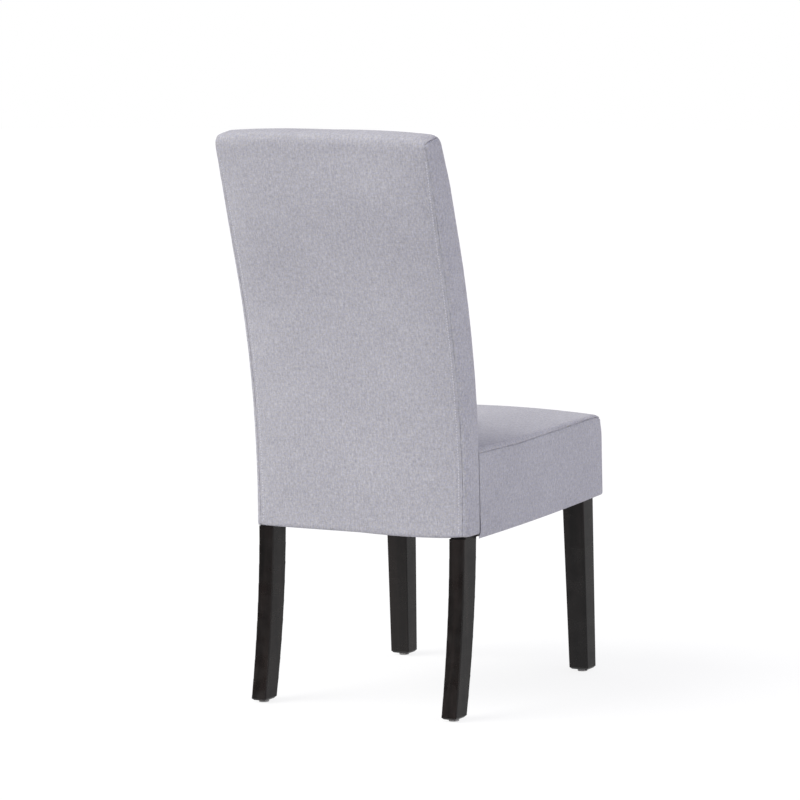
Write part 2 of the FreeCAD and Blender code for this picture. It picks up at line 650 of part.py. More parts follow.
def corner_blocks():
    """Blocks across the inner corners of the seat frame, screwed to both rails."""
    blocks = {}
    screws = []
    notch_x = f"({LEG_INNER} - Sizes.soft_gap)"
    notch_y = f"({LEG_REAR} + Sizes.soft_gap)"
    front_end_x = f"({notch_x} - Sizes.block_leg)"
    front_end_y = f"({LEG_FRONT} + {SIDE_RAIL_INNER} - {front_end_x})"
    rear_end_y = f"({REAR_RAIL_FRONT} - {REAR_BLOCK_LEG})"
    for side, sign in SIDES:
        front_low = f"({rail_under(LEG_FRONT)} + Sizes.block_lift)"
        rear_low = f"({rail_under(REAR_RAIL_FRONT)} + Sizes.block_lift)"
        outline = [(notch_x, LEG_FRONT), (front_end_x, LEG_FRONT), (SIDE_RAIL_INNER, front_end_y),
                   (SIDE_RAIL_INNER, notch_y), (notch_x, notch_y)]
        outline = [(f"{sign} * {x}", y) for x, y in outline]
        name = f"corner_block_front_{side}"
        blocks[name] = prism(name + "_blank", "XY_Plane", front_low, "Sizes.block_height", outline)
        outline = [(SIDE_RAIL_INNER, REAR_RAIL_FRONT), (SIDE_RAIL_INNER, rear_end_y),
                   (REAR_BLOCK_END, REAR_RAIL_FRONT)]
        outline = [(f"{sign} * {x}", y) for x, y in outline]
        name = f"corner_block_rear_{side}"
        blocks[name] = prism(name + "_blank", "XY_Plane", rear_low, "Sizes.block_height", outline)
        middle_front = f"({front_low} + Sizes.block_height / 2)"
        middle_rear = f"({rear_low} + Sizes.block_height / 2)"
        seats = [
            (f"corner_block_front_{side}", "seat_front_rail", (0, -1, 0),
             (f"{sign} * ({front_end_x} + Sizes.screw_offset)", LEG_FRONT, middle_front)),
            (f"corner_block_front_{side}", f"seat_side_rail_{side}", (sign, 0, 0),
             (f"{sign} * {SIDE_RAIL_INNER}", f"({front_end_y} - Sizes.screw_offset)", middle_front)),
            (f"corner_block_rear_{side}", "seat_rear_rail", (0, 1, 0),
             (f"{sign} * ({REAR_BLOCK_END} + Sizes.screw_offset)", REAR_RAIL_FRONT, middle_rear)),
            (f"corner_block_rear_{side}", f"seat_side_rail_{side}", (sign, 0, 0),
             (f"{sign} * {SIDE_RAIL_INNER}", f"({rear_end_y} + Sizes.screw_offset)", middle_rear)),
        ]
        for number, (block_name, rail, direction, place) in enumerate(seats, 1):
            label = f"block_screw_{side}_{number}"
            seat_depth = "(Sizes.screw_offset - Sizes.screw_head_radius - Sizes.screw_head_height)"
            length = f"({seat_depth} + Sizes.screw_bite)"
            head = ahead(place, direction, f"-{seat_depth}")
            screws.append(wood_screw(label, head, direction, length))
            bore = screw_bore(label + "_hole", head, direction, length)
            mouth = rod(label + "_mouth", "Sizes.screw_head_radius + Sizes.metal_clearance",
                        "Sizes.screw_offset", ahead(head, direction, "-Sizes.screw_offset"), direction)
            drill(block_name, bore)
            drill(block_name, mouth)
            drill(rail, bore)
    keep(group("corner_block_screws", screws), "corner_block_screws")
    return blocks


def leg_bolts():
    """Hanger bolts from the front legs' inner corners through the corner blocks, with washers and nuts."""
    bolts, washers, nuts = [], [], []
    gap = "Sizes.metal_clearance"
    for side, sign in SIDES:
        inward = (-sign, 1, 0)
        height = f"({rail_under(LEG_FRONT)} + Sizes.block_lift + Sizes.block_height / 2)"
        corner = (f"{sign} * {LEG_INNER}", LEG_REAR, height)
        # The block's face lies this far along the diagonal from the leg's corner
        face = "((Sizes.block_leg + Sizes.soft_gap - Sizes.front_leg_depth) / sqrt(2))"
        start = ahead(corner, inward, "-Sizes.hanger_bolt_grip")
        bolt = rod(f"hanger_bolt_{side}", "Sizes.hanger_bolt_radius", "Sizes.hanger_bolt_length",
                   start, inward)
        bolts.append(bolt)
        bore = rod(f"hanger_bore_{side}", f"Sizes.hanger_bolt_radius + {gap}",
                   f"Sizes.hanger_bolt_length + 2 * {gap}",
                   ahead(corner, inward, f"-Sizes.hanger_bolt_grip - {gap}"), inward)
        drill(f"front_leg_{side}", bore)
        drill(f"corner_block_front_{side}", bore)
        seat = ahead(corner, inward, face)
        disc = rod(f"leg_washer_disc_{side}", "Sizes.washer_radius", "Sizes.washer_thickness", seat, inward)
        washers.append(cut(f"leg_washer_{side}", disc, [bore]))
        nut_seat = ahead(corner, inward, f"{face} + Sizes.washer_thickness")
        prism_nut = doc.addObject("Part::Prism", f"leg_nut_blank_{side}")
        prism_nut.Polygon = 6
        prism_nut.setExpression("Circumradius", "Sizes.nut_radius")
        prism_nut.setExpression("Height", "Sizes.nut_height")
        aim(prism_nut, nut_seat, inward)
        nuts.append(cut(f"leg_nut_{side}", prism_nut, [bore]))
    keep(group("leg_hanger_bolts", bolts), "leg_hanger_bolts")
    keep(group("leg_bolt_washers", washers), "leg_bolt_washers")
    keep(group("leg_bolt_nuts", nuts), "leg_bolt_nuts")


def front_rail_screws():
    """Screws through the front rail into the legs."""
    screws = []
    length = "(Sizes.rail_thickness + Sizes.rail_screw_bite)"
    for side, sign in SIDES:
        for up in (-1, 1):
            label = f"front_rail_screw_{side}_{'low' if up < 0 else 'high'}"
            z = f"({rail_under(LEG_FRONT)} + Sizes.rail_height / 2 + {up} * 1.25 * Sizes.dowel_spread)"
            place = (f"{sign} * ({LEG_OUTER} - Sizes.front_leg_width / 2)", FRONT_RAIL_FRONT, z)
            screws.append(wood_screw(label, place, (0, 1, 0), length))
            bore = screw_bore(label + "_hole", place, (0, 1, 0), length)
            drill("seat_front_rail", bore)
            drill(f"front_leg_{side}", bore)
    keep(group("front_rail_screws", screws), "front_rail_screws")


def seat_bolt_places():
    """Where the bolts that join the two units pass through the rear seat rail's front face."""
    middle = f"({rail_under(REAR_RAIL_FRONT)} + Sizes.rail_height / 2 - Sizes.seat_bolt_drop)"
    places = []
    for _, sign in SIDES:
        for up in (-1, 1):
            places.append((f"{sign} * ({REAR_BLOCK_END} - Sizes.seat_bolt_spacing)", REAR_RAIL_FRONT,
                           f"({middle} + {up} * Sizes.seat_bolt_rows / 2)"))
    return places


def seat_bolts():
    """Bolts from inside the seat frame into threaded inserts in the lowest back rail."""
    bolts, washers, inserts, sleeves = [], [], [], []
    back = (0, 1, 0)
    gap = "Sizes.metal_clearance"
    for number, place in enumerate(seat_bolt_places(), 1):
        washer_seat = ahead(place, back, "-Sizes.washer_thickness")
        head_seat = ahead(washer_seat, back, "-Sizes.seat_bolt_head_height")
        shank = rod(f"seat_bolt_shank_{number}", "Sizes.seat_bolt_radius", "Sizes.seat_bolt_length",
                    washer_seat, back)
        head = rod(f"seat_bolt_head_{number}", "Sizes.seat_bolt_head_radius", "Sizes.seat_bolt_head_height",
                   head_seat, back)
        socket = doc.addObject("Part::Prism", f"seat_bolt_socket_{number}")
        socket.Polygon = 6
        socket.setExpression("Circumradius", "Sizes.seat_bolt_radius * 0.9")
        socket.setExpression("Height", "Sizes.seat_bolt_socket")
        aim(socket, head_seat, back)
        solid = joined(f"seat_bolt_solid_{number}", [head, shank])
        bolts.append(cut(f"seat_bolt_{number}", solid, [socket]))
        hole = rod(f"seat_bolt_hole_{number}", f"Sizes.seat_bolt_radius + {gap}",
                   f"Sizes.seat_bolt_length + 2 * {gap}", ahead(washer_seat, back, f"-{gap}"), back)
        disc = rod(f"seat_washer_disc_{number}", "Sizes.washer_radius", "Sizes.washer_thickness",
                   washer_seat, back)
        washers.append(cut(f"seat_washer_{number}", disc, [hole]))
        insert_seat = (place[0], LOW_RAIL_FRONT, place[2])
        sleeve = rod(f"insert_solid_{number}", "Sizes.insert_radius", "Sizes.insert_length", insert_seat, back)
        inserts.append(cut(f"insert_{number}", sleeve, [hole]))
        pocket = rod(f"insert_pocket_{number}", f"Sizes.insert_radius + {gap}", "Sizes.insert_length",
                     insert_seat, back)
        drill("seat_rear_rail", hole)
        drill("back_bottom_rail", hole)
        drill("back_bottom_rail", pocket)
        drill("covers", rod(f"cover_hole_{number}", f"Sizes.seat_bolt_radius + 2 * {gap}",
                            "Sizes.seat_bolt_length", washer_seat, back))
    keep(group("seat_bolts", bolts), "seat_bolts")
    keep(group("seat_bolt_washers", washers), "seat_bolt_washers")
    keep(group("threaded_inserts", inserts), "threaded_inserts")


def rear_panel():
    """Fibreboard let in flush between the posts, following their rear faces."""
    thick = "Sizes.rear_panel"
    low = LOW_RAIL_UNDER
    outer_end = on_arc(POST_REAR, "Sizes.rear_lean_radius", "Sizes.lean_angle")
    inner_end = (f"({outer_end[0]} - {thick} * {LEAN_COS})", f"({outer_end[1]} + {thick} * {LEAN_SIN})")
    outline = [
        (rear_curve(low), low, REAR_KICK_RADIUS, -1),
        (POST_REAR, "Sizes.waist_height", "Sizes.rear_lean_radius", -1),
        outer_end,
        on_rear_line("Sizes.panel_top_drop", "0"),
        on_rear_line("Sizes.panel_top_drop", thick),
        (*inner_end, f"(Sizes.rear_lean_radius + {thick})", 1),
        (f"({POST_REAR} - {thick})", "Sizes.waist_height", f"({REAR_KICK_RADIUS} + {thick})", 1),
        (rear_curve(low, thick), low),
    ]
    edge = f"({POST_INNER} - Sizes.soft_gap)"
    keep(prism("back_rear_panel_body", "YZ_Plane", f"-{edge}", f"2 * {edge}", outline), "back_rear_panel")


def back_straps():
    """Elastic straps across the front of the stiles."""
    straps = []
    end = f"({LEG_OUTER} - Sizes.strap_setback)"
    radius = "Sizes.front_lean_radius"
    for number in range(5):
        rise = f"(Sizes.back_strap_first + {number} * Sizes.back_strap_step)"
        level = f"({up_post(rise)} - Sizes.waist_height)"
        bend = f"min({level}; {radius} * {LEAN_SIN})"
        angle = f"asin({bend} / {radius})"
        beyond = f"(({level} - {bend}) / {LEAN_COS})"
        out = "(Sizes.strap_thickness / 2 + Sizes.soft_gap)"
        y = f"({POST_FRONT} + {radius} - ({radius} + {out}) * cos({angle}) + {beyond} * sin({angle}))"
        z = f"(Sizes.waist_height + ({radius} + {out}) * sin({angle}) + {beyond} * cos({angle}))"
        corners = leaning_rectangle(y, z, angle, "Sizes.strap_thickness", "Sizes.strap_width")
        straps.append(prism(f"back_strap_{number + 1}", "YZ_Plane", f"-{end}", f"2 * {end}", corners))
    keep(group("back_webbing", straps), "back_webbing")


def seat_straps():
    """Lengthwise straps on the rails, and crosswise straps on those."""
    def above(layers):
        return lambda y: f"({rail_top(y)} + {layers} * Sizes.strap_thickness)"

    lengthwise = []
    front = f"({FRONT_RAIL_FRONT} + Sizes.strap_setback)"
    rear = f"({REAR_RAIL_REAR} - Sizes.strap_setback)"
    for number in range(4):
        start = f"(({number} - 1.5) * Sizes.seat_strap_step_x - Sizes.strap_width / 2)"
        lengthwise.append(prism(f"lengthwise_strap_{number + 1}", "YZ_Plane", start, "Sizes.strap_width",
                                sloped(front, rear, above(0), above(1))))
    keep(group("seat_webbing_lengthwise", lengthwise), "seat_webbing_lengthwise")
    crosswise = []
    end = f"({LEG_OUTER} - Sizes.strap_setback)"
    middle = f"(({FRONT_RAIL_FRONT} + {REAR_RAIL_REAR}) / 2)"
    for number in range(4):
        low = f"({middle} + ({number} - 1.5) * Sizes.seat_strap_step_y - Sizes.strap_width / 2)"
        high = f"({low} + Sizes.strap_width)"
        crosswise.append(prism(f"crosswise_strap_{number + 1}", "YZ_Plane", f"-{end}", f"2 * {end}",
                               sloped(low, high, above(1), above(2))))
    keep(group("seat_webbing_crosswise", crosswise), "seat_webbing_crosswise")


# Soft forms: each layer is the cover's form taken in by what lies outside it
def edges_where(shape, test):
    return [edge for edge in shape.Edges if test(edge.BoundBox)]


def rounded(shape, radius, test):
    """Round the edges that pass a test, if any do."""
    edges = edges_where(shape, test)
    if radius > 0.2 and edges:
        return shape.makeFillet(radius, edges)
    return shape


def meet(first, first_way, second, second_way):
    """Where two lines in the YZ plane cross."""
    across = first_way.y * second_way.z - first_way.z * second_way.y
    step = ((second.y - first.y) * second_way.z - (second.z - first.z) * second_way.y) / across
    return first + first_way * step


def below_waist(centre, radius, z):
    return Vector(0, centre.y - math.sqrt(radius * radius - (z - centre.z) ** 2), z)


def on_bend(centre, radius, angle):
    return centre + Vector(0, -radius * math.cos(angle), radius * math.sin(angle))


def back_outline(inset, drop):
    """Side view of the covered back, taken in all round, its lower edge dropped."""
    waist = value("Sizes.waist_height")
    lean = math.radians(value("Sizes.lean_angle"))
    face_angle = math.radians(value("Sizes.face_angle"))
    tilt = math.radians(value("Sizes.top_tilt"))
    low = value("Sizes.cover_bottom") - drop
    middle = (low + waist) / 2
    cover = value(COVER_TO_POST)
    rear_kick = value(REAR_KICK_RADIUS)
    kick_centre = Vector(0, value(POST_REAR) + rear_kick, waist)
    kick = rear_kick - cover + inset
    bend = value("Sizes.rear_lean_radius")
    bend_centre = Vector(0, value(POST_REAR) + bend, waist)
    bend = bend - cover + inset
    front_kick = value(FRONT_KICK_RADIUS)
    shin_centre = Vector(0, value(POST_FRONT) + front_kick, waist)
    shin = front_kick + value(SKIN) - inset
    face = value("Sizes.face_radius")
    start = waist + value("Sizes.face_bend_start")
    face_centre = Vector(0, value("Sizes.joint_plane") + face, start)
    face_end = on_bend(face_centre, face, face_angle)
    up = Vector(0, math.sin(face_angle), math.cos(face_angle))
    height = value("Sizes.overall_height")
    top = face_end + up * ((height - face_end.z) / up.z)
    face = face - inset
    along = Vector(0, math.cos(tilt), -math.sin(tilt))
    top = top - Vector(0, math.sin(tilt), math.cos(tilt)) * inset
    rear_up = Vector(0, math.sin(lean), math.cos(lean))
    rear_end = on_bend(bend_centre, bend, lean)
    top_rear = meet(top, along, rear_end, rear_up)
    inner_end = on_bend(face_centre, face, face_angle)
    top_front = meet(top, along, inner_end, up)
    rear_waist = Vector(0, kick_centre.y - kick, waist)
    front_waist = Vector(0, shin_centre.y - shin, waist)
    face_low = Vector(0, face_centre.y - face, start)
    rear_low = below_waist(kick_centre, kick, low)
    front_low = below_waist(shin_centre, shin, low)
    edges = [
        Part.Arc(rear_low, below_waist(kick_centre, kick, middle), rear_waist).toShape(),
        Part.Arc(rear_waist, on_bend(bend_centre, bend, lean / 2), rear_end).toShape(),
        Part.makeLine(rear_end, top_rear),
        Part.makeLine(top_rear, top_front),
        Part.makeLine(top_front, inner_end),
        Part.Arc(inner_end, on_bend(face_centre, face, face_angle / 2), face_low).toShape(),
        Part.makeLine(face_low, front_waist),
        Part.Arc(front_waist, below_waist(shin_centre, shin, middle), front_low).toShape(),
        Part.makeLine(front_low, rear_low),
    ]
    return Part.Face(Part.Wire(edges)), top, along


def across(face, half_width):
    """A flat side view made solid from one side to the other."""
    face = face.copy()
    face.translate(Vector(-half_width, 0, 0))
    return face.extrude(Vector(2 * half_width, 0, 0))


def back_form(inset, drop=0.0):
    """The covered back: bent side view, arched top edge, rounded edges."""
    outline, top, along = back_outline(inset, drop)
    half = value(SIDE)
    wide = half - inset
    solid = across(outline, wide)
    crown = value("Sizes.top_crown")
    arch = (half * half + crown * crown) / (2 * crown) - inset
    up = Vector(0, -along.z, along.y)
    start = top - along * half
    reach = wide + 1
    sink = arch - math.sqrt(arch * arch - reach * reach)
    depth = value("Sizes.overall_height")

    def corner(x, down):
        return start + Vector(x, 0, 0) - up * down

    arch_wire = Part.Wire([
        Part.Arc(corner(-reach, sink), start, corner(reach, sink)).toShape(),
        Part.makeLine(corner(reach, sink), corner(reach, depth)),
        Part.makeLine(corner(reach, depth), corner(-reach, depth)),
        Part.makeLine(corner(-reach, depth), corner(-reach, sink)),
    ])
    under_arch = Part.Face(arch_wire).extrude(along * (2 * depth))
    under_arch.translate(along * -half)
    solid = solid.common(under_arch).Solids[0]
    high = top.z - crown - value("Sizes.top_rear_radius")
    top_edge = (solid.BoundBox.YMax + top.y) / 2
    solid = rounded(solid, value("Sizes.top_rear_radius") - inset,
                    lambda box: box.XLength > half / 2 and box.ZMin > high and box.YMin > top_edge)
    solid = rounded(solid, value("Sizes.top_front_radius") - inset,
                    lambda box: box.XLength > half / 2 and box.ZMin > high and box.YMax < top_edge
                    and box.ZMax > top.z - 1)
    level = value("Sizes.cover_bottom") - drop
    solid = rounded(solid, value("Sizes.back_corner_radius") - inset,
                    lambda box: box.XLength < 0.5 and abs(abs(box.XMin + box.XMax) / 2 - wide) < 0.5
                    and box.ZMax > level + 1)
    return solid.Solids[0]


def seat_form(inset, drop=0.0):
    """The covered seat: sloped, crowned across, with rounded edges."""
    wide = value(SIDE) - inset
    front = value(SEAT_FRONT) + inset
    rear = value(SEAT_REAR) - inset
    depth = value("Sizes.seat_depth")
    joint = value("Sizes.joint_plane")
    edge_rear = value("Sizes.seat_edge_rear")
    edge_rise = value("Sizes.seat_edge_front") - edge_rear
    under = value("Sizes.seat_bottom_rear")
    under_rise = value("Sizes.seat_rise")
    crown = value("Sizes.seat_crown")

    def section(y):
        share = (joint - y) / depth
        low = under + under_rise * share + inset - drop
        high = edge_rear + edge_rise * share - inset
        corners = [Vector(-wide, y, low), Vector(wide, y, low), Vector(wide, y, high), Vector(-wide, y, high)]
        return Part.Wire([
            Part.makeLine(corners[0], corners[1]),
            Part.makeLine(corners[1], corners[2]),
            Part.Arc(corners[2], Vector(0, y, high + crown), corners[3]).toShape(),
            Part.makeLine(corners[3], corners[0]),
        ])

    solid = Part.makeLoft([section(front), section(rear)], True, True)
    solid = rounded(solid, value("Sizes.seat_front_radius") - inset,
                    lambda box: box.XLength > wide and box.YMax < front + 0.01 and box.ZMin > edge_rear - inset)
    # The rounding runs on from the front corners along the side edges
    solid = rounded(solid, value("Sizes.seat_side_radius") - inset,
                    lambda box: box.XLength < 0.01 and box.YMax < front + 0.01 and box.ZLength > 50)
    solid = rounded(solid, value("Sizes.seat_rear_radius") - inset,
                    lambda box: box.YMin > rear - 0.01 and box.ZMax > under + under_rise + 1)
    return solid.Solids[0]


def plank(outline, half_width):
    """A side view of (y, z) expressions made solid about the middle."""
    points = [Vector(0, value(y), value(z)) for y, z in outline]
    face = Part.Face(Part.makePolygon(points + points[:1]))
    return across(face, half_width)


def side_zone(sign, start, front, rear, low, high):
    """Everything further out than the seam line on one side."""
    wide = value("Sizes.overall_width")
    zone = Part.makeBox(wide, rear - front, high - low, Vector(start, front, low))
    if sign < 0:
        zone = zone.mirror(Vector(0, 0, 0), Vector(1, 0, 0))
    return zone


def one_solid(shape):
    """The largest solid of a shape, tidied."""
    return max(shape.Solids, key=lambda solid: solid.Volume).removeSplitter()


def cover_holes():
    doc.recompute()
    return [tool.Shape for tool in rail_holes["covers"]]


def post_side_view(grow):
    """Side view of a rear post, grown all round."""
    doc.recompute()
    post = doc.getObject("rear_post_left_blank").Shape
    middle = value(POST_MIDDLE)
    wires = post.slice(Vector(1, 0, 0), middle)
    face = Part.Face(wires[0])
    face.translate(Vector(-middle, 0, 0))
    return face.makeOffset2D(grow)


def back_soft():
    """Foam, wadding and the sewn cover of the back."""
    fabric = value("Sizes.fabric")
    gap = value("Sizes.soft_gap")
    outer = value(LEG_OUTER)
    lining = value(COVER_TO_POST) - gap
    top = value(POST_TOP)
    foam_low = value(up_post("Sizes.back_foam_bottom"))
    padded, _, _ = back_outline(value(COVER_TO_POST), 0)
    strap_space = value("Sizes.strap_thickness") + 2 * gap
    foam_zone = Part.makeBox(4 * outer, 4 * outer, top - foam_low, Vector(-2 * outer, 0, foam_low))
    foam = across(padded, outer).cut(across(post_side_view(strap_space), outer + 1)).common(foam_zone)
    foam = min((solid for solid in foam.Solids if solid.Volume > 1000), key=lambda solid: solid.CenterOfMass.y)
    keep(shaped("back_foam", foam), "back_foam")
    core_face, _, _ = back_outline(lining, 40)
    core = across(core_face, outer + gap)
    below_top = Part.makeBox(4 * outer, 4 * outer, top + 8, Vector(-2 * outer, 0, 0))
    core = core.common(below_top).fuse(across(post_side_view(gap), outer + gap))
    inside = back_form(value(SKIN))
    keep(shaped("back_wadding", one_solid(inside.cut(core))), "back_wadding")
    shell = back_form(0).cut(back_form(fabric, 20))
    for hole in cover_holes():
        shell = shell.cut(hole)
    split = value(SIDE) - value("Sizes.back_seam_inset")
    low = value("Sizes.cover_bottom") - 1
    high = value("Sizes.overall_height") + 1
    wrap = shell
    for side, sign in SIDES:
        zone = side_zone(sign, split, 0, 2 * outer, low, high)
        keep(shaped(f"back_side_panel_{side}", one_solid(shell.common(zone))), f"back_side_panel_{side}")
        wrap = wrap.cut(zone)
    keep(shaped("back_cover", one_solid(wrap)), "back_cover")


def seat_soft():
    """Foam, front pad, wadding and the sewn cover of the seat."""
    fabric = value("Sizes.fabric")
    gap = value("Sizes.soft_gap")
    outer = value(LEG_OUTER)
    side = value(SIDE)
    lining = value(COVER_TO_POST)
    front = value(SEAT_FRONT)
    rear = value(SEAT_REAR)
    far_front = f"({SEAT_FRONT} - 10)"
    far_rear = f"({SEAT_REAR} + 10)"

    def slab(y):
        return f"({rail_top(y)} + 2 * Sizes.strap_thickness + Sizes.soft_gap)"

    def beneath(y):
        return f"({rail_under(y)} - 60)"

    def slab_less_gap(y):
        return f"({slab(y)} - Sizes.soft_gap)"

    under_slab = plank(sloped(far_front, far_rear, beneath, slab), side + 10)
    form = seat_form(lining)
    foam = form.cut(under_slab)
    keep(shaped("seat_foam", one_solid(foam)), "seat_foam")
    pad_rear = f"({FRONT_RAIL_FRONT} - Sizes.soft_gap)"
    pad_zone = plank(sloped(far_front, pad_rear, rail_under, slab_less_gap), outer)
    keep(shaped("seat_front_pad", one_solid(form.common(pad_zone))), "seat_front_pad")
    inside = seat_form(value(SKIN))
    hollow = seat_form(lining - gap).cut(plank(sloped(far_front, far_rear, beneath, slab_less_gap), side + 10))
    frame_front = f"({SEAT_FRONT} + {COVER_TO_POST} - Sizes.soft_gap)"
    frame_zone = plank(sloped(frame_front, far_rear, beneath, slab), outer + gap)
    keep(shaped("seat_wadding", one_solid(inside.cut(hollow).cut(frame_zone))), "seat_wadding")
    shell = seat_form(0).cut(seat_form(fabric))
    flange = value("Sizes.flange")
    reach_front = f"({SEAT_FRONT} + Sizes.flange)"
    reach_rear = f"({SEAT_REAR} - Sizes.flange)"
    opening = plank(sloped(reach_front, reach_rear, beneath, rail_under), side - flange)
    shell = shell.cut(opening)
    for sign in (1, -1):
        width = value("Sizes.front_leg_width") + 2 * gap
        depth = value("Sizes.front_leg_depth") + 2 * gap
        start = value(LEG_INNER) - gap if sign > 0 else -outer - gap
        low = value(beneath(LEG_FRONT))
        leg = Part.makeBox(width, depth, value(rail_under(LEG_FRONT)) + 2 - low,
                           Vector(start, value(LEG_FRONT) - gap, low))
        shell = shell.cut(leg)
    for hole in cover_holes():
        shell = shell.cut(hole)
    split = side - value("Sizes.seat_seam_inset")
    low = value("Sizes.seat_bottom_rear") - 20
    high = value("Sizes.seat_edge_front") + 40
    wrap = shell
    for name, sign in SIDES:
        zone = side_zone(sign, split, front - 1, rear + 1, low, high)
        keep(shaped(f"seat_side_panel_{name}", one_solid(shell.common(zone))), f"seat_side_panel_{name}")
        wrap = wrap.cut(zone)
    return shaped("seat_cover_whole", one_solid(wrap))


def base_cloths():
    """Black cloth under the seat frame, and a strip of it under the back unit."""
    cloth_top = lambda y: f"({seat_under(y)} - Sizes.soft_gap)"
    cloth_low = lambda y: f"({seat_under(y)} - Sizes.soft_gap - Sizes.base_cloth)"
    inset = "(Sizes.flange / 2)"
    front = f"({SEAT_FRONT} + {inset})"
    rear = f"({SEAT_REAR} - {inset})"
    half = f"({SIDE} - {inset})"
    cloth = prism("dust_cover_blank", "YZ_Plane", f"-{half}", f"2 * {half}",
                  sloped(front, rear, cloth_low, cloth_top))
    for side, sign in SIDES:
        start = f"({LEG_INNER} - Sizes.soft_gap)" if sign > 0 else f"(-{LEG_OUTER} - Sizes.soft_gap)"
        low = (start, f"({LEG_FRONT} - Sizes.soft_gap)", f"({seat_under(LEG_FRONT)} - 20)")
        size = ("Sizes.front_leg_width + 2 * Sizes.soft_gap", "Sizes.front_leg_depth + 2 * Sizes.soft_gap", "40")
        drill("dust_cover", block(f"dust_cover_notch_{side}", low, size))
    strip_half = f"({POST_INNER} - Sizes.soft_gap)"
    strip = block("back_base_strip_box", (f"-{strip_half}", LOW_RAIL_FRONT, "Sizes.cover_bottom + Sizes.fabric"),
                  (f"2 * {strip_half}", f"{POST_REAR} - {LOW_RAIL_FRONT}", "Sizes.base_cloth"))
    keep(strip, "back_base_strip")
    return cloth


def staples():
    """Wire staples that hold the dust cover and the turned-in cover to the seat rails."""
    pieces = []
    wire = "Sizes.staple_wire"
    rows = []
    side_x = f"({LEG_OUTER} - Sizes.rail_thickness / 2)"
    front_y = f"({LEG_FRONT} - Sizes.rail_thickness / 2)"
    rear_y = f"({REAR_RAIL_REAR} - Sizes.rail_thickness * 0.75)"
    step_x = f"({LEG_INNER} * 2 / 5)"
    step_y = f"(({REAR_RAIL_FRONT} - {LEG_REAR}) / 5)"
    middle_y = f"(({LEG_REAR} + {REAR_RAIL_FRONT}) / 2)"
    for number in range(-2, 3):
        rows.append(("x", f"({number} * {step_x})", front_y))
        rows.append(("x", f"({number} * {step_x})", rear_y))
        for sign in (1, -1):
            rows.append(("y", f"{sign} * {side_x}", f"({middle_y} + {number} * {step_y})"))
    for number, (way, x, y) in enumerate(rows, 1):
        low = f"({seat_under(y)} - Sizes.soft_gap - Sizes.base_cloth - {wire})"
        half = "(Sizes.staple_crown / 2)"
        leg_height = f"(Sizes.staple_leg + {wire})"
        if way == "x":
            size = ("Sizes.staple_crown", wire, wire)
            start = (f"({x} - {half})", f"({y} - {wire} / 2)", low)
            other = (f"({x} + {half} - {wire})", f"({y} - {wire} / 2)", low)
        else:
            size = (wire, "Sizes.staple_crown", wire)
            start = (f"({x} - {wire} / 2)", f"({y} - {half})", low)
            other = (f"({x} - {wire} / 2)", f"({y} + {half} - {wire})", low)
        crown = block(f"staple_crown_{number}", start, size)
        first = block(f"staple_leg_{number}_first", start, (wire, wire, leg_height))
        second = block(f"staple_leg_{number}_second", other, (wire, wire, leg_height))
        pieces.append(joined(f"staple_{number}", [crown, first, second]))
    return keep(group("dust_cover_staples", pieces), "dust_cover_staples")


def build_chair():
    posts = {f"rear_post_{side}": rear_post(side, sign) for side, sign in SIDES}
    legs = {f"front_leg_{side}": front_leg(side, sign) for side, sign in SIDES}
    frame = {**posts, **legs, **back_rails(), **seat_rails(), **corner_blocks()}
    glides()
    leg_bolts()
    front_rail_screws()
    seat_bolts()
    rear_panel()
    back_straps()
    seat_straps()
    back_soft()
    seat_cover = seat_soft()
    cloth = base_cloths()
    stapled = staples()
    for name in ("seat_front_rail", "seat_rear_rail", "seat_side_rail_left", "seat_side_rail_right"):
        drill(name, stapled)
    drill("seat_cover", stapled)
    drill("dust_cover", stapled)
    frame["seat_cover"] = seat_cover
    frame["dust_cover"] = cloth
    for name, blank in frame.items():
        finish(name, blank)


def check_chair():
    """Stop if any object failed to build or any sub-part isn't a set of valid closed solids."""
    doc.recompute()
    for obj in doc.Objects:
        if "Invalid" in obj.State or "Error" in obj.State:
            raise RuntimeError(f"{obj.Label} failed: {obj.State}")
    for obj in bodies:
        shape = obj.Shape
        if shape.isNull() or not shape.isValid() or not shape.Solids:
            raise RuntimeError(f"{obj.Label} has no valid shape")


def write_chair():
    os.makedirs("parts", exist_ok=True)
    for obj in bodies:
        obj.Shape.exportStep(os.path.join("parts", obj.Label + ".step"))
        print(obj.Label, len(obj.Shape.Solids), round(obj.Shape.Volume))


build_chair()
check_chair()
write_chair()
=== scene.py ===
import json
import math

import bpy
import numpy as np
from mathutils import Matrix, Vector, noise
from mathutils.bvhtree import BVHTree
from mathutils.kdtree import KDTree


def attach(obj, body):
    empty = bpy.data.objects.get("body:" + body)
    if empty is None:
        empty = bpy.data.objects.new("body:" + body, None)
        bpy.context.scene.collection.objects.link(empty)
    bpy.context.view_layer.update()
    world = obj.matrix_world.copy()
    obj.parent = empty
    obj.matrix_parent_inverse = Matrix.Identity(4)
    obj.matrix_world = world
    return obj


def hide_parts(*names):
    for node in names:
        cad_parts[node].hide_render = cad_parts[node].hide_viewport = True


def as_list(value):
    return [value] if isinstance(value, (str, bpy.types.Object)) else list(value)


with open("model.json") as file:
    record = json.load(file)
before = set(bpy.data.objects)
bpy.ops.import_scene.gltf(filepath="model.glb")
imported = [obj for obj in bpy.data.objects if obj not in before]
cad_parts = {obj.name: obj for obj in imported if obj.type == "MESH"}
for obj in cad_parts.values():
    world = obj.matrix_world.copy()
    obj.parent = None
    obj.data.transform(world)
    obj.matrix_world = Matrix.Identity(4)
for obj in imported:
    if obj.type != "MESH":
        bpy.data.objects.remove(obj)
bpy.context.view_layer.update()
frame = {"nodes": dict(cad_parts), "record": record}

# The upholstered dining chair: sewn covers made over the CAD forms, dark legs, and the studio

NODES = frame["nodes"]
MM = 0.001

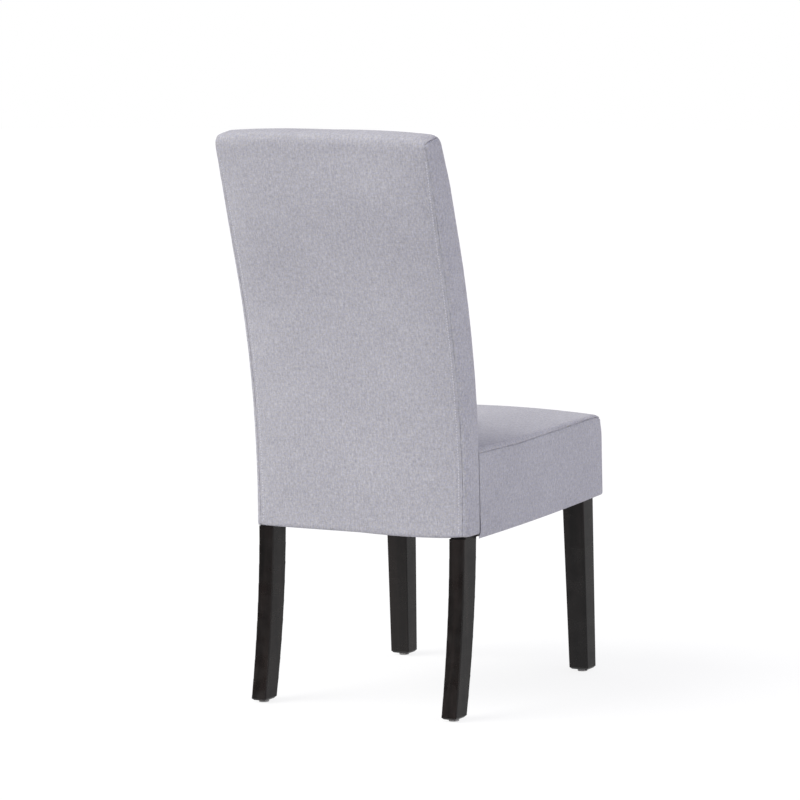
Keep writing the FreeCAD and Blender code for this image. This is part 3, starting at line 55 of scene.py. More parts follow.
# Sizes of the upholstery, in metres: the whole of it, the back, the seat, and the roundings of the CAD forms
HALF_WIDTH = 0.217
FABRIC = 0.0008
BASE_CLOTH = 0.0005
SEAM_DEPTH = 0.0020
PUCKER = 0.0007
STITCH = 0.0032
STITCH_STEP = 0.0046
STITCH_FROM_SEAM = 0.0066

BACK_HEM_HEIGHT = 0.312
BACK_TOP_FRONT = 1.0165
BACK_TOP_REAR = 1.0045
BACK_TOP_CROWN = 0.0065
BACK_TOP_CORNER_LEFT = 0.013
BACK_TOP_CORNER_RIGHT = 0.016
BACK_LOW_ROUNDING = 0.010
BACK_REAR_ROUNDING = 0.015
BACK_SEAM_PULL = 0.0003

SEAT_FRONT = -0.306
SEAT_REAR = 0.1517
SEAT_JOINT = 0.152
SEAT_LENGTH = 0.458
SEAT_PADDING = 0.004
SEAT_FLANGE = 0.030
SEAT_FRONT_CORNER = 0.018
SEAT_TOP_FRONT_RADIUS = 0.038
SEAT_SEAM_PULL = 0.0016

CAD_BACK_ROUNDING = 0.009
CAD_SEAT_ROUNDING = 0.008
CAD_SEAT_FRONT_RADIUS = 0.026

# Cells of the shells, between their edges and up to a seam or fold, and the frames of the swelling
MIDDLE_COLUMNS = 32
BACK_SEAM_COLUMN = 3
SEAT_LOW_ROWS = 17
SEAT_FLANGE_COLUMNS = 8
SWELL_FRAMES = 20


# The camera

def photo_camera():
    """The camera at the photograph's place and angle."""
    place = Vector((-3.18526, 5.320995, 1.26875))
    yaw, pitch, roll = 0.5442, 0.1199, 0.0239
    ahead = Vector((math.sin(yaw) * math.cos(pitch), -math.cos(yaw) * math.cos(pitch), -math.sin(pitch)))
    level = ahead.cross(Vector((0, 0, 1))).normalized()
    down = ahead.cross(level)
    right = math.cos(roll) * level + math.sin(roll) * down
    up = math.sin(roll) * level - math.cos(roll) * down
    bpy.ops.object.camera_add(location=place)
    camera = bpy.context.object
    camera.name = "photo_camera"
    turn = Matrix((right, up, -ahead)).transposed()
    camera.matrix_world = Matrix.Translation(place) @ turn.to_4x4()
    camera.data.sensor_width = 36
    camera.data.lens = 157.52
    camera.data.clip_end = 60
    bpy.context.scene.camera = camera


# The materials

def fill_inputs(node, **numbers):
    """Set a node's inputs by their names."""
    for name, number in numbers.items():
        node.inputs[name.replace("_", " ")].default_value = number


class Recipe:
    """Builds one material from shader nodes."""

    def __init__(self, name):
        self.material = bpy.data.materials.new(name)
        self.material.use_nodes = True
        self.tree = self.material.node_tree
        self.shader = self.tree.nodes["Principled BSDF"]
        self.coordinates = self.tree.nodes.new("ShaderNodeTexCoord")

    def add(self, kind, **settings):
        node = self.tree.nodes.new(kind)
        for name, setting in settings.items():
            setattr(node, name, setting)
        return node

    def link(self, source, target):
        self.tree.links.new(source, target)

    def cloud(self, scale, detail=2.0, roughness=0.5, distortion=0.0, source="Object"):
        """Noise between 0 and 1, about 0.5, with its own scale on each axis."""
        mapping = self.add("ShaderNodeMapping")
        fill_inputs(mapping, Scale=scale)
        self.link(self.coordinates.outputs[source], mapping.inputs["Vector"])
        texture = self.add("ShaderNodeTexNoise")
        fill_inputs(texture, Scale=1.0, Detail=detail, Roughness=roughness, Distortion=distortion)
        self.link(mapping.outputs["Vector"], texture.inputs["Vector"])
        return texture.outputs["Fac"]

    def math(self, operation, first, second):
        node = self.add("ShaderNodeMath", operation=operation)
        for socket, what in zip(node.inputs, (first, second)):
            if isinstance(what, (int, float)):
                socket.default_value = what
            else:
                self.link(what, socket)
        return node.outputs[0]

    def mixture(self, first, first_part, second, second_part):
        """Two factors added up, each in its part."""
        first = self.math("MULTIPLY", first, first_part)
        return self.math("ADD", first, self.math("MULTIPLY", second, second_part))

    def spread(self, factor, low, high, to_low=0.0, to_high=1.0):
        """Stretch a part of a factor's range, held at its ends."""
        node = self.add("ShaderNodeMapRange")
        fill_inputs(node, From_Min=low, From_Max=high, To_Min=to_low, To_Max=to_high)
        self.link(factor, node.inputs["Value"])
        return node.outputs["Result"]

    def blend(self, factor, first, second):
        """Mix two colours, each a colour or a socket."""
        node = self.add("ShaderNodeMix", data_type="RGBA")
        self.link(factor, node.inputs["Factor"])
        for socket, what in ((node.inputs[6], first), (node.inputs[7], second)):
            if isinstance(what, tuple):
                socket.default_value = (*what, 1.0)
            else:
                self.link(what, socket)
        return node.outputs[2]

    def bump(self, height, distance, strength):
        node = self.add("ShaderNodeBump")
        fill_inputs(node, Strength=strength, Distance=distance)
        self.link(height, node.inputs["Height"])
        self.link(node.outputs["Normal"], self.shader.inputs["Normal"])

    def color(self, source):
        self.link(source, self.shader.inputs["Base Color"])

    def roughness(self, source):
        if isinstance(source, (int, float)):
            self.shader.inputs["Roughness"].default_value = source
        else:
            self.link(source, self.shader.inputs["Roughness"])

    def set(self, **numbers):
        fill_inputs(self.shader, **numbers)


def linen(name="heathered_linen"):
    """Pale heathered upholstery linen: a plain weave of bluish and greyish threads, thick and thin."""
    cloth = Recipe(name)
    upright = cloth.cloud((430, 170, 1), detail=3, roughness=0.6, source="UV")
    level = cloth.cloud((190, 520, 1), detail=3, roughness=0.6, source="UV")
    slubs_up = cloth.cloud((235, 44, 1), detail=2, roughness=0.5, source="UV")
    slubs_level = cloth.cloud((70, 240, 1), detail=2, roughness=0.5, source="UV")
    threads = cloth.mixture(upright, 0.46, level, 0.26)
    slubs = cloth.mixture(slubs_up, 0.19, slubs_level, 0.09)
    heather = cloth.math("ADD", threads, slubs)
    soiling = cloth.cloud((7, 7, 7), detail=3, roughness=0.55)
    tone = cloth.math("ADD", heather, cloth.math("MULTIPLY", cloth.math("SUBTRACT", soiling, 0.5), 0.11))
    yarn = cloth.spread(cloth.cloud((300, 260, 1), detail=2, source="UV"), 0.38, 0.62)
    dark = cloth.blend(yarn, (0.335, 0.336, 0.395), (0.355, 0.344, 0.355))
    light = cloth.blend(yarn, (0.628, 0.630, 0.685), (0.652, 0.640, 0.625))
    cloth.color(cloth.blend(cloth.spread(tone, 0.355, 0.645), dark, light))
    ribs = []
    for direction in ("X", "Y"):
        wave = cloth.add("ShaderNodeTexWave", bands_direction=direction)
        fill_inputs(wave, Scale=190.0, Distortion=1.6, Detail=2.0, Detail_Scale=0.6)
        cloth.link(cloth.coordinates.outputs["UV"], wave.inputs["Vector"])
        ribs.append(wave.outputs["Fac"])
    weave = cloth.math("MAXIMUM", ribs[0], ribs[1])
    cloth.bump(cloth.mixture(weave, 0.5, heather, 1.4), 0.0005, 0.55)
    cloth.roughness(cloth.spread(heather, 0.35, 0.65, 0.86, 0.96))
    cloth.set(Sheen_Weight=0.22, Sheen_Roughness=0.5, Specular_IOR_Level=0.18)
    return cloth.material


def sewing_thread():
    """Thread a shade lighter than the cloth, twisted."""
    thread = Recipe("sewing_thread")
    twist = thread.cloud((900, 900, 900), detail=2)
    thread.color(thread.blend(thread.spread(twist, 0.3, 0.7), (0.62, 0.62, 0.66), (0.86, 0.86, 0.88)))
    thread.bump(twist, 0.0002, 0.5)
    thread.roughness(0.7)
    thread.set(Sheen_Weight=0.1)
    return thread.material


def espresso_wood():
    """Near-black satin finish over a fine straight grain, worn along its edges and unevenly polished."""
    wood = Recipe("espresso_stained_wood")
    grain = wood.cloud((420, 420, 9), detail=4, roughness=0.65, distortion=0.4)
    bands = wood.cloud((60, 60, 2.2), detail=3, roughness=0.5, distortion=0.8)
    stain = wood.blend(wood.spread(bands, 0.3, 0.7), (0.0088, 0.0071, 0.0067), (0.0235, 0.0172, 0.0152))
    stain = wood.blend(wood.spread(grain, 0.52, 0.78, 0.0, 0.6), stain, (0.0045, 0.0038, 0.0036))
    soft_edge = wood.add("ShaderNodeBevel", samples=6)
    fill_inputs(soft_edge, Radius=0.0016)
    geometry = wood.add("ShaderNodeNewGeometry")
    meeting = wood.add("ShaderNodeVectorMath", operation="DOT_PRODUCT")
    wood.link(soft_edge.outputs["Normal"], meeting.inputs[0])
    wood.link(geometry.outputs["Normal"], meeting.inputs[1])
    edges = wood.spread(meeting.outputs["Value"], 0.995, 0.90)
    scuffs = wood.cloud((95, 95, 40), detail=4, roughness=0.7)
    wear = wood.math("MULTIPLY", edges, wood.spread(scuffs, 0.50, 0.72))
    wood.color(wood.blend(wood.math("MULTIPLY", wear, 0.5), stain, (0.065, 0.050, 0.042)))
    polish = wood.cloud((22, 22, 40), detail=2)
    wood.roughness(wood.spread(polish, 0.30, 0.70, 0.20, 0.44))
    wood.bump(wood.math("ADD", grain, wood.math("MULTIPLY", polish, 2.5)), 0.00022, 0.35)
    wood.set(Coat_Weight=0.35, Coat_Roughness=0.22, Specular_IOR_Level=0.5)
    return wood.material


def plain_wood(name, light, dark):
    """Unfinished frame timber."""
    wood = Recipe(name)
    grain = wood.cloud((12, 260, 260), detail=5, roughness=0.6, distortion=0.6)
    rings = wood.cloud((3, 40, 40), detail=3, roughness=0.5, distortion=1.2)
    tone = wood.mixture(grain, 0.5, rings, 0.5)
    wood.color(wood.blend(wood.spread(tone, 0.35, 0.65), light, dark))
    wood.bump(grain, 0.0003, 0.5)
    wood.roughness(wood.spread(rings, 0.3, 0.7, 0.62, 0.78))
    return wood.material


def fibreboard():
    board = Recipe("brown_fibreboard")
    fibres = board.cloud((900, 900, 900), detail=4, roughness=0.7)
    mottle = board.cloud((60, 60, 60), detail=3)
    tone = board.mixture(fibres, 0.6, mottle, 0.4)
    board.color(board.blend(board.spread(tone, 0.35, 0.65), (0.30, 0.19, 0.11), (0.19, 0.11, 0.06)))
    board.bump(fibres, 0.0002, 0.6)
    board.roughness(0.72)
    return board.material


def fibre_wadding():
    fluff = Recipe("white_fibre_wadding")
    tufts = fluff.cloud((170, 170, 170), detail=6, roughness=0.75, distortion=1.5)
    fluff.color(fluff.blend(fluff.spread(tufts, 0.3, 0.7), (0.70, 0.70, 0.69), (0.86, 0.86, 0.85)))
    fluff.bump(tufts, 0.0015, 0.9)
    fluff.roughness(0.95)
    fluff.set(Sheen_Weight=0.4)
    return fluff.material


def cream_foam():
    foam = Recipe("cream_polyurethane_foam")
    cells = foam.add("ShaderNodeTexVoronoi", feature="F1")
    fill_inputs(cells, Scale=900.0)
    foam.link(foam.coordinates.outputs["Object"], cells.inputs["Vector"])
    age = foam.cloud((9, 9, 9), detail=3)
    foam.color(foam.blend(foam.spread(age, 0.3, 0.7), (0.74, 0.66, 0.42), (0.66, 0.56, 0.33)))
    foam.bump(cells.outputs["Distance"], 0.0006, 0.7)
    foam.roughness(0.92)
    return foam.material


def elastic_webbing():
    """Woven elastic strap with slanting ribs and some dust."""
    strap = Recipe("black_elastic_webbing")
    ribs = strap.add("ShaderNodeTexWave", bands_direction="DIAGONAL")
    fill_inputs(ribs, Scale=260.0)
    strap.link(strap.coordinates.outputs["Object"], ribs.inputs["Vector"])
    dust = strap.spread(strap.cloud((40, 40, 40), detail=3), 0.3, 0.8, 0.0, 0.5)
    strap.color(strap.blend(dust, (0.020, 0.020, 0.022), (0.060, 0.058, 0.055)))
    strap.bump(ribs.outputs["Fac"], 0.0005, 0.7)
    strap.roughness(0.8)
    return strap.material


def base_cloth():
    """Black non-woven base cloth with its pressed dots and some lint."""
    cloth = Recipe("black_base_cloth")
    dots = cloth.add("ShaderNodeTexVoronoi", feature="F1")
    fill_inputs(dots, Scale=700.0, Randomness=0.15)
    cloth.link(cloth.coordinates.outputs["Object"], dots.inputs["Vector"])
    lint = cloth.cloud((130, 130, 130), detail=5, roughness=0.7)
    linty = cloth.spread(lint, 0.55, 0.85, 0.0, 0.5)
    cloth.color(cloth.blend(linty, (0.012, 0.012, 0.013), (0.055, 0.055, 0.058)))
    cloth.bump(dots.outputs["Distance"], 0.0003, 0.6)
    cloth.roughness(cloth.spread(lint, 0.3, 0.8, 0.78, 0.92))
    return cloth.material


def glide_nylon():
    nylon = Recipe("ivory_nylon")
    scuffs = nylon.cloud((220, 220, 60), detail=4, roughness=0.7)
    nylon.color(nylon.blend(nylon.spread(scuffs, 0.45, 0.8), (0.72, 0.70, 0.64), (0.40, 0.38, 0.34)))
    nylon.bump(scuffs, 0.0002, 0.5)
    nylon.roughness(nylon.spread(scuffs, 0.3, 0.7, 0.35, 0.55))
    return nylon.material


def metal(name, bright, dull):
    """Plated metal with fine turning marks and a little tarnish."""
    plate = Recipe(name)
    marks = plate.cloud((1500, 300, 1500), detail=3)
    tarnish = plate.cloud((90, 90, 90), detail=4, roughness=0.65)
    plate.color(plate.blend(plate.spread(tarnish, 0.4, 0.75), bright, dull))
    plate.bump(marks, 0.00006, 0.4)
    plate.roughness(plate.spread(tarnish, 0.3, 0.8, 0.22, 0.48))
    plate.set(Metallic=1.0)
    return plate.material


# Tools for the soft forms

def only(piece):
    """Select one object, and make it the active one."""
    bpy.ops.object.select_all(action="DESELECT")
    piece.select_set(True)
    bpy.context.view_layer.objects.active = piece


def mode(name):
    bpy.ops.object.mode_set(mode=name)


def new_object(name, data):
    piece = bpy.data.objects.new(name, data)
    bpy.context.scene.collection.objects.link(piece)
    return piece


def joined(pieces):
    only(pieces[0])
    for piece in pieces[1:]:
        piece.select_set(True)
    bpy.ops.object.join()
    return bpy.context.object


def form_of(name, nodes):
    """One mesh with the surfaces of some CAD covers, merged, to lay the cloth on."""
    form = joined([new_object(name, NODES[node].data.copy()) for node in nodes])
    mode("EDIT")
    bpy.ops.mesh.select_all(action="SELECT")
    bpy.ops.mesh.remove_doubles(threshold=1e-5)
    mode("OBJECT")
    return form


def vertex_rows(piece, what):
    flat = np.zeros(len(piece.data.vertices) * 3)
    piece.data.vertices.foreach_get(what, flat)
    return flat.reshape(-1, 3)


def points_of(piece):
    return vertex_rows(piece, "co")


def normals_of(piece):
    return vertex_rows(piece, "normal")


def put_points(piece, points):
    piece.data.vertices.foreach_set("co", np.asarray(points, float).ravel())
    piece.data.update()


def edge_selected_along(piece, axis):
    """In edit mode, select the edges that run along one axis."""
    bpy.ops.mesh.select_all(action="DESELECT")
    mode("OBJECT")
    points = points_of(piece)
    for edge in piece.data.edges:
        step = np.abs(points[edge.vertices[0]] - points[edge.vertices[1]])
        edge.select = bool(step[axis] > 1e-6 and step.sum() - step[axis] < 1e-6)
    mode("EDIT")


def gridded_cube(name, columns, layers, rows):
    """A cube from 0 to 1 whose faces are divided into a regular grid."""
    bpy.ops.object.select_all(action="DESELECT")
    bpy.ops.mesh.primitive_cube_add(size=1, location=(0, 0, 0))
    piece = bpy.context.object
    piece.name = name
    mode("EDIT")
    bpy.ops.mesh.select_mode(type="EDGE")
    for axis, cells in ((0, columns), (1, layers), (2, rows)):
        edge_selected_along(piece, axis)
        bpy.ops.mesh.subdivide(number_cuts=cells - 1)
    mode("OBJECT")
    put_points(piece, points_of(piece) + 0.5)
    return piece


def even(count, start, end):
    return [start + (end - start) * step / count for step in range(count + 1)]


def column_places(insets, middle_columns):
    """Places across the width: at given insets from each side, and even between."""
    right = [HALF_WIDTH - inset for inset in insets]
    inner = right[-1]
    middle = even(middle_columns, inner, -inner)[1:-1]
    return np.array([-place for place in right] + [-place for place in middle] + right[::-1])


REGIONS = ("wrap", "side_left", "side_right")
WRAP, SIDE_LEFT, SIDE_RIGHT = range(3)


def mark_regions(piece, keys, chooser):
    """Give each face a material slot by its vertices' places in the grid, in the order of the regions."""
    for word in REGIONS:
        piece.data.materials.append(bpy.data.materials.get(word) or bpy.data.materials.new(word))
    for face in piece.data.polygons:
        face.material_index = chooser(keys[list(face.vertices)])


def delete_faces(piece, doomed):
    """Delete the faces with these indices."""
    only(piece)
    mode("EDIT")
    bpy.ops.mesh.select_mode(type="FACE")
    bpy.ops.mesh.select_all(action="DESELECT")
    mode("OBJECT")
    for index in doomed:
        piece.data.polygons[index].select = True
    mode("EDIT")
    bpy.ops.mesh.delete(type="FACE")
    mode("OBJECT")


def extrude_border(piece):
    """Extrude a surface's open border in place, and return the new border's vertices."""
    only(piece)
    mode("EDIT")
    bpy.ops.mesh.select_mode(type="EDGE")
    bpy.ops.mesh.select_all(action="DESELECT")
    bpy.ops.mesh.select_non_manifold(extend=False, use_wire=False, use_boundary=True, use_multi_face=False,
                                     use_non_contiguous=False, use_verts=False)
    bpy.ops.mesh.extrude_edges_move()
    mode("OBJECT")
    return [vertex.index for vertex in piece.data.vertices if vertex.select]


def modified(piece, kind, **settings):
    """Apply one modifier with these settings."""
    only(piece)
    modifier = piece.modifiers.new(kind.lower(), kind)
    for name, setting in settings.items():
        setattr(modifier, name, setting)
    bpy.ops.object.modifier_apply(modifier=modifier.name)


def snapped(piece, form, group):
    """Lay the vertices of a group onto the CAD form."""
    modified(piece, "SHRINKWRAP", target=form, wrap_method="NEAREST_SURFACEPOINT", vertex_group=group)


def vertex_group(piece, name, chosen):
    group = piece.vertex_groups.new(name=name)
    group.add(np.flatnonzero(chosen).tolist(), 1.0, "REPLACE")
    return name


def blown(piece, held, cap):
    """Let the cloth swell against its held seams, and keep each point's motion under its cap."""
    start = points_of(piece)
    only(piece)
    cloth = piece.modifiers.new("swell", "CLOTH")
    settings = cloth.settings
    settings.quality = 6
    settings.use_pressure = True
    settings.uniform_pressure_force = 4.0
    settings.vertex_group_mass = vertex_group(piece, "held", held)
    settings.tension_stiffness = 30
    settings.compression_stiffness = 12
    settings.shear_stiffness = 8
    settings.bending_stiffness = 0.6
    settings.effector_weights.gravity = 0
    cloth.point_cache.frame_start = 1
    cloth.point_cache.frame_end = SWELL_FRAMES
    scene = bpy.context.scene
    for step in range(1, SWELL_FRAMES + 1):
        scene.frame_set(step)
    bpy.ops.object.modifier_apply(modifier=cloth.name)
    scene.frame_set(1)
    motion = points_of(piece) - start
    length = np.linalg.norm(motion, axis=1, keepdims=True)
    limit = np.asarray(cap).reshape(-1, 1)
    allowed = limit * np.tanh(length / np.maximum(limit, 1e-6))
    share = np.where(length > 1e-9, allowed / np.maximum(length, 1e-9), 0)
    put_points(piece, start + motion * share)


def seam_vertices(piece):
    """Vertices on the lines where the wrap meets a side."""
    owners = {}
    for face in piece.data.polygons:
        for index in face.vertices:
            owners.setdefault(index, set()).add(face.material_index)
    return np.array([len(owners.get(index, ())) > 1 for index in range(len(piece.data.vertices))])


def panels(piece, whole_name):
    """Part the cover at its seams, and turn each panel's edges in along the seam."""
    whole = points_of(piece)
    inward = -normals_of(piece)
    finder = KDTree(len(whole))
    for index, point in enumerate(whole):
        finder.insert(point, index)
    finder.balance()
    only(piece)
    mode("EDIT")
    bpy.ops.mesh.select_all(action="SELECT")
    bpy.ops.mesh.separate(type="MATERIAL")
    mode("OBJECT")
    parts = [part for part in bpy.context.selected_objects if part.type == "MESH"]
    found = {}
    for part in parts:
        region = part.data.materials[part.data.polygons[0].material_index].name
        part.name = f"{whole_name}_{region}"
        part.data.name = part.name
        found[part.name] = part
        border = extrude_border(part)
        points = points_of(part)
        for vertex in border:
            _, index, _ = finder.find(points[vertex])
            points[vertex] += inward[index] * SEAM_DEPTH
        put_points(part, points)
    return found


def cloth_map(piece):
    """Lay the cloth's own UV map in metres: upright threads run up the panel, level threads across."""
    mesh = piece.data
    while mesh.uv_layers:
        mesh.uv_layers.remove(mesh.uv_layers[0])
    layer = mesh.uv_layers.new(name="cloth")
    points = points_of(piece)
    uv = np.zeros((len(mesh.loops), 2))
    for face in mesh.polygons:
        across, over, _ = (abs(part) for part in face.normal)
        if across > 0.72:
            pair = (1, 2)
        elif over > 0.5:
            pair = (0, 2)
        else:
            pair = (0, 1)
        for loop in face.loop_indices:
            place = points[mesh.loops[loop].vertex_index]
            uv[loop] = (place[pair[0]] + 0.37 * pair[0], place[pair[1]])
    layer.data.foreach_set("uv", uv.ravel())


def walled(piece, wall):
    """Give a sheet its thickness, inwards from its face."""
    modified(piece, "SOLIDIFY", thickness=wall, offset=-1)
    bpy.ops.object.shade_smooth()


def eased(start, end, number):
    """0 up to the start, 1 from the end, and smooth between."""
    share = np.clip((np.asarray(number) - start) / (end - start), 0, 1)
    return share * share * (3 - 2 * share)


def corner_share(first, second, old, new):
    """How far to draw points in, about the centre of a corner's new rounding.

    first and second are the points' distances from that centre towards the two sides."""
    first = np.maximum(first, 0)
    second = np.maximum(second, 0)
    reach = np.hypot(first, second)
    inside = (first > 0) & (second > 0)
    cosine = np.where(inside, first / np.maximum(reach, 1e-9), 1.0)
    sine = np.where(inside, second / np.maximum(reach, 1e-9), 0.0)
    start = new - old
    both = cosine + sine
    on_arc = start * both + np.sqrt(np.maximum((start * both) ** 2 - 2 * start ** 2 + old ** 2, 0))
    flat = np.minimum(new / np.maximum(cosine, 1e-6), new / np.maximum(sine, 1e-6))
    beyond = (sine * new <= start * cosine) | (cosine * new <= start * sine)
    outline = np.where(beyond | (old <= 0), flat, on_arc)
    return np.where(inside, new / outline, 1.0)


def round_corner(points, first_side, second_side, old, new, strength=1.0):
    """Give a corner a fuller rounding, between two sides that are each an axis, a way and a place.

    The place is measured along the way. The points are drawn in about the new rounding's centre."""
    first_axis, first_way, first_place = first_side
    second_axis, second_way, second_place = second_side
    first = first_way * points[:, first_axis] - (first_place - new)
    second = second_way * points[:, second_axis] - (second_place - new)
    pull = np.minimum((corner_share(first, second, old, new) - 1) * strength, 0)
    points[:, first_axis] += first_way * first * pull
    points[:, second_axis] += second_way * second * pull


def ripple(along, seed, scale):
    """A seeded wave along a seam, between about -1 and 1."""
    return noise.noise(Vector((along * scale, seed * 7.31, seed * 1.7)))


# The back's cover

def back_seam_inset(height):
    """How far the rear seam lies in from the side: it wanders, and runs out to the top corner."""
    heights = (0.312, 0.425, 0.510, 0.680, 0.850, 0.940, 1.000)
    insets = (0.0110, 0.0092, 0.0092, 0.0094, 0.0078, 0.0052, 0.0024)
    return float(np.interp(height, heights, insets))


def back_insets(height):
    """How far in from each side the grid's columns stand, closest together at the seam."""
    seam = back_seam_inset(height)
    beyond = [seam + step * MM for step in (0.8, 2.8, 6.2, 10.5, 15.5, 21.5)]
    return [0, 0.42 * seam, max(seam - 0.8 * MM, 0.75 * seam), seam] + beyond


def back_block():
    """The back's cover as one shell over the CAD form, open at the hem, seams still unsewn."""
    form = form_of("back_form", ["back_cover", "back_side_panel_left", "back_side_panel_right"])
    tree = BVHTree.FromObject(form, bpy.context.evaluated_depsgraph_get())
    side_columns = len(back_insets(BACK_HEM_HEIGHT)) - 1
    columns, layers, rows = 2 * side_columns + MIDDLE_COLUMNS, 8, 84
    piece = gridded_cube("back_shell", columns, layers, rows)

    def face_at(height, way):
        """Y of the cover's face at a height, met from the front or the rear."""
        start = Vector((0, -1.0 if way > 0 else 1.5, height))
        place, _, _, _ = tree.ray_cast(start, Vector((0, way, 0)))
        return place.y

    def line_at(height, way, straight):
        """The same, carried on straight above the rounded top edge."""
        if height <= straight:
            return face_at(height, way)
        low, high = straight - 0.05, straight
        slope = (face_at(high, way) - face_at(low, way)) / (high - low)
        return face_at(high, way) + slope * (height - high)

    fronts = even(rows, BACK_HEM_HEIGHT, BACK_TOP_FRONT)
    rears = even(rows, BACK_HEM_HEIGHT, BACK_TOP_REAR)
    front_lines = [line_at(max(height, BACK_HEM_HEIGHT + MM), 1, 0.985) for height in fronts]
    rear_lines = [line_at(max(height, BACK_HEM_HEIGHT + MM), -1, 0.970) for height in rears]
    points = points_of(piece)
    keys = np.rint(points * (columns, layers, rows)).astype(int)
    placed = np.zeros_like(points)
    for index, (column, layer, row) in enumerate(keys):
        depth = layer / layers
        height = fronts[row] + (rears[row] - fronts[row]) * depth
        across = column_places(back_insets(height), MIDDLE_COLUMNS)[column]
        crown = BACK_TOP_CROWN * (across / HALF_WIDTH) ** 2 * (row / rows) ** 6
        over = front_lines[row] + (rear_lines[row] - front_lines[row]) * depth
        placed[index] = (across, over, height - crown)
    put_points(piece, placed)

    def region(place):
        if (place[:, 2] == rows).all():
            return WRAP
        if (place[:, 0] <= BACK_SEAM_COLUMN).all():
            return SIDE_RIGHT
        return SIDE_LEFT if (place[:, 0] >= columns - BACK_SEAM_COLUMN).all() else WRAP

    mark_regions(piece, keys, region)
    faces = piece.data.polygons
    delete_faces(piece, [face.index for face in faces if (keys[list(face.vertices)][:, 2] == 0).all()])
    put_points(piece, points_of(piece) + normals_of(piece) * FABRIC)
    snapped(piece, form, vertex_group(piece, "laid", np.ones(len(piece.data.vertices))))
    return piece, form


def back_top_line(points):
    """Height of the back's top edge over each point."""
    middle = BACK_TOP_FRONT - 0.105 * (points[:, 1] - 0.2553)
    return middle - BACK_TOP_CROWN * (points[:, 0] / HALF_WIDTH) ** 2


def rear_line(points):
    """How far back the rear face lies at each point's height."""
    middle = points[np.abs(points[:, 0]) < 0.01]
    heights = np.linspace(BACK_HEM_HEIGHT, 1.0, 80)
    faces = [middle[np.abs(middle[:, 2] - height) < 0.006, 1].max() for height in heights]
    return np.interp(points[:, 2], heights, faces)


def as_sewn_back(points):
    """The uneven set of this back: its top edge, shoulders and hem, as the sewing drew them."""
    points = points.copy()
    across = points[:, 0]
    side = np.sign(across)
    # The right rear edge is fuller up to the shoulder
    rear = rear_line(points)
    right_edge = (across < 0) * (1 - eased(0.93, 0.985, points[:, 2]))
    right_side = (0, -1, HALF_WIDTH)
    round_corner(points, right_side, (1, 1, rear), CAD_BACK_ROUNDING, BACK_REAR_ROUNDING, right_edge)
    # The padding swells the rear face between its seams, less at the hem and the top
    out = np.clip(np.abs(across) / 0.206, 0, 1)
    swell = 0.014 * (1 - 0.4 * out ** 2 - 0.6 * out ** 6)
    swell *= 0.45 + 0.55 * eased(BACK_HEM_HEIGHT, 0.42, points[:, 2])
    swell *= 1 - 0.75 * eased(0.88, 1.0, points[:, 2])
    points[:, 1] += swell * eased(-0.05, 0.0, points[:, 1] - rear)
    # The top corners, and the front edges below the seat's top
    top_corner = np.where(across > 0, BACK_TOP_CORNER_LEFT, BACK_TOP_CORNER_RIGHT)
    sides = (0, side, HALF_WIDTH)
    round_corner(points, sides, (2, 1, back_top_line(points)), CAD_BACK_ROUNDING, top_corner)
    beside_seat = 1 - eased(0.455, 0.500, points[:, 2])
    round_corner(points, sides, (1, -1, -SEAT_JOINT), CAD_BACK_ROUNDING, BACK_LOW_ROUNDING, beside_seat)
    # The top edge stands higher at the left than at the right, and the right shoulder is drawn in
    share = np.abs(across) / HALF_WIDTH
    rise = 0.0014 + np.where(across > 0, 0.0044 * np.sin(math.pi / 2 * share), -0.0034 * share ** 3)
    points[:, 2] += rise * eased(0.85, 1.0, points[:, 2])
    right = np.clip(-across / HALF_WIDTH, 0, 1)
    points[:, 0] += 0.0042 * right ** 2 * eased(0.91, 1.01, points[:, 2])
    # The hem sags right of the middle and lifts at the right post
    low = 1 - eased(BACK_HEM_HEIGHT, BACK_HEM_HEIGHT + 0.05, points[:, 2])
    sag = 0.0018 * np.sin(math.pi * np.clip(-across / 0.17, 0, 1))
    lift = 0.0038 * eased(0.165, 0.212, -across)
    points[:, 2] += (lift - sag) * low
    return points


def turned_hem(piece):
    """Turn the hem of the back's cover in under the padding, up to the posts."""
    post_side, flange_front, flange_rear = 0.2112, 0.1532, 0.1985
    border = extrude_border(piece)
    points = points_of(piece)
    across = points[border, 0]
    beside_post = np.abs(across) > post_side + 0.2 * MM
    points[border, 0] = np.where(beside_post, np.copysign(post_side, across), across)
    points[border, 1] = np.clip(points[border, 1], flange_front, flange_rear)
    put_points(piece, points)


def back_cover():
    piece, form = back_block()
    put_points(piece, as_sewn_back(points_of(piece)))
    turned_hem(piece)
    hem = points_of(piece)[:, 2] < BACK_HEM_HEIGHT + 0.006
    facing = normals_of(piece)[:, 1]
    cap = np.where(facing > 0.5, 0.0012, np.where(facing < -0.5, 0.0035, 0.0015))
    blown(piece, seam_vertices(piece) | hem, cap)
    return sewn_panels(piece, form, "back", BACK_SEAM_PULL, back_seam_distance, 0.6, 3.0)


def back_seam_distance(place):
    """How far a place on the back's cover is from its nearer seam, and how far along the seam it is."""
    seam = HALF_WIDTH - back_seam_inset(place[2])
    return abs(abs(place[0]) - seam), place[2]


def seam_puckers(part, distance_of, strength, seed):
    """Small folds that run in from the seams, deepest at the stitches."""
    reach, fade = 0.035, 0.011
    points = points_of(part)
    normals = normals_of(part)
    for index, place in enumerate(points):
        away, along = distance_of(place)
        if away > reach:
            continue
        side = 1.0 if place[0] > 0 else 2.0
        fold = ripple(along, seed + side, 85) + 0.6 * ripple(along, seed + side + 5, 190)
        points[index] = place + normals[index] * PUCKER * strength * fold * math.exp(-away / fade)
    put_points(part, points)


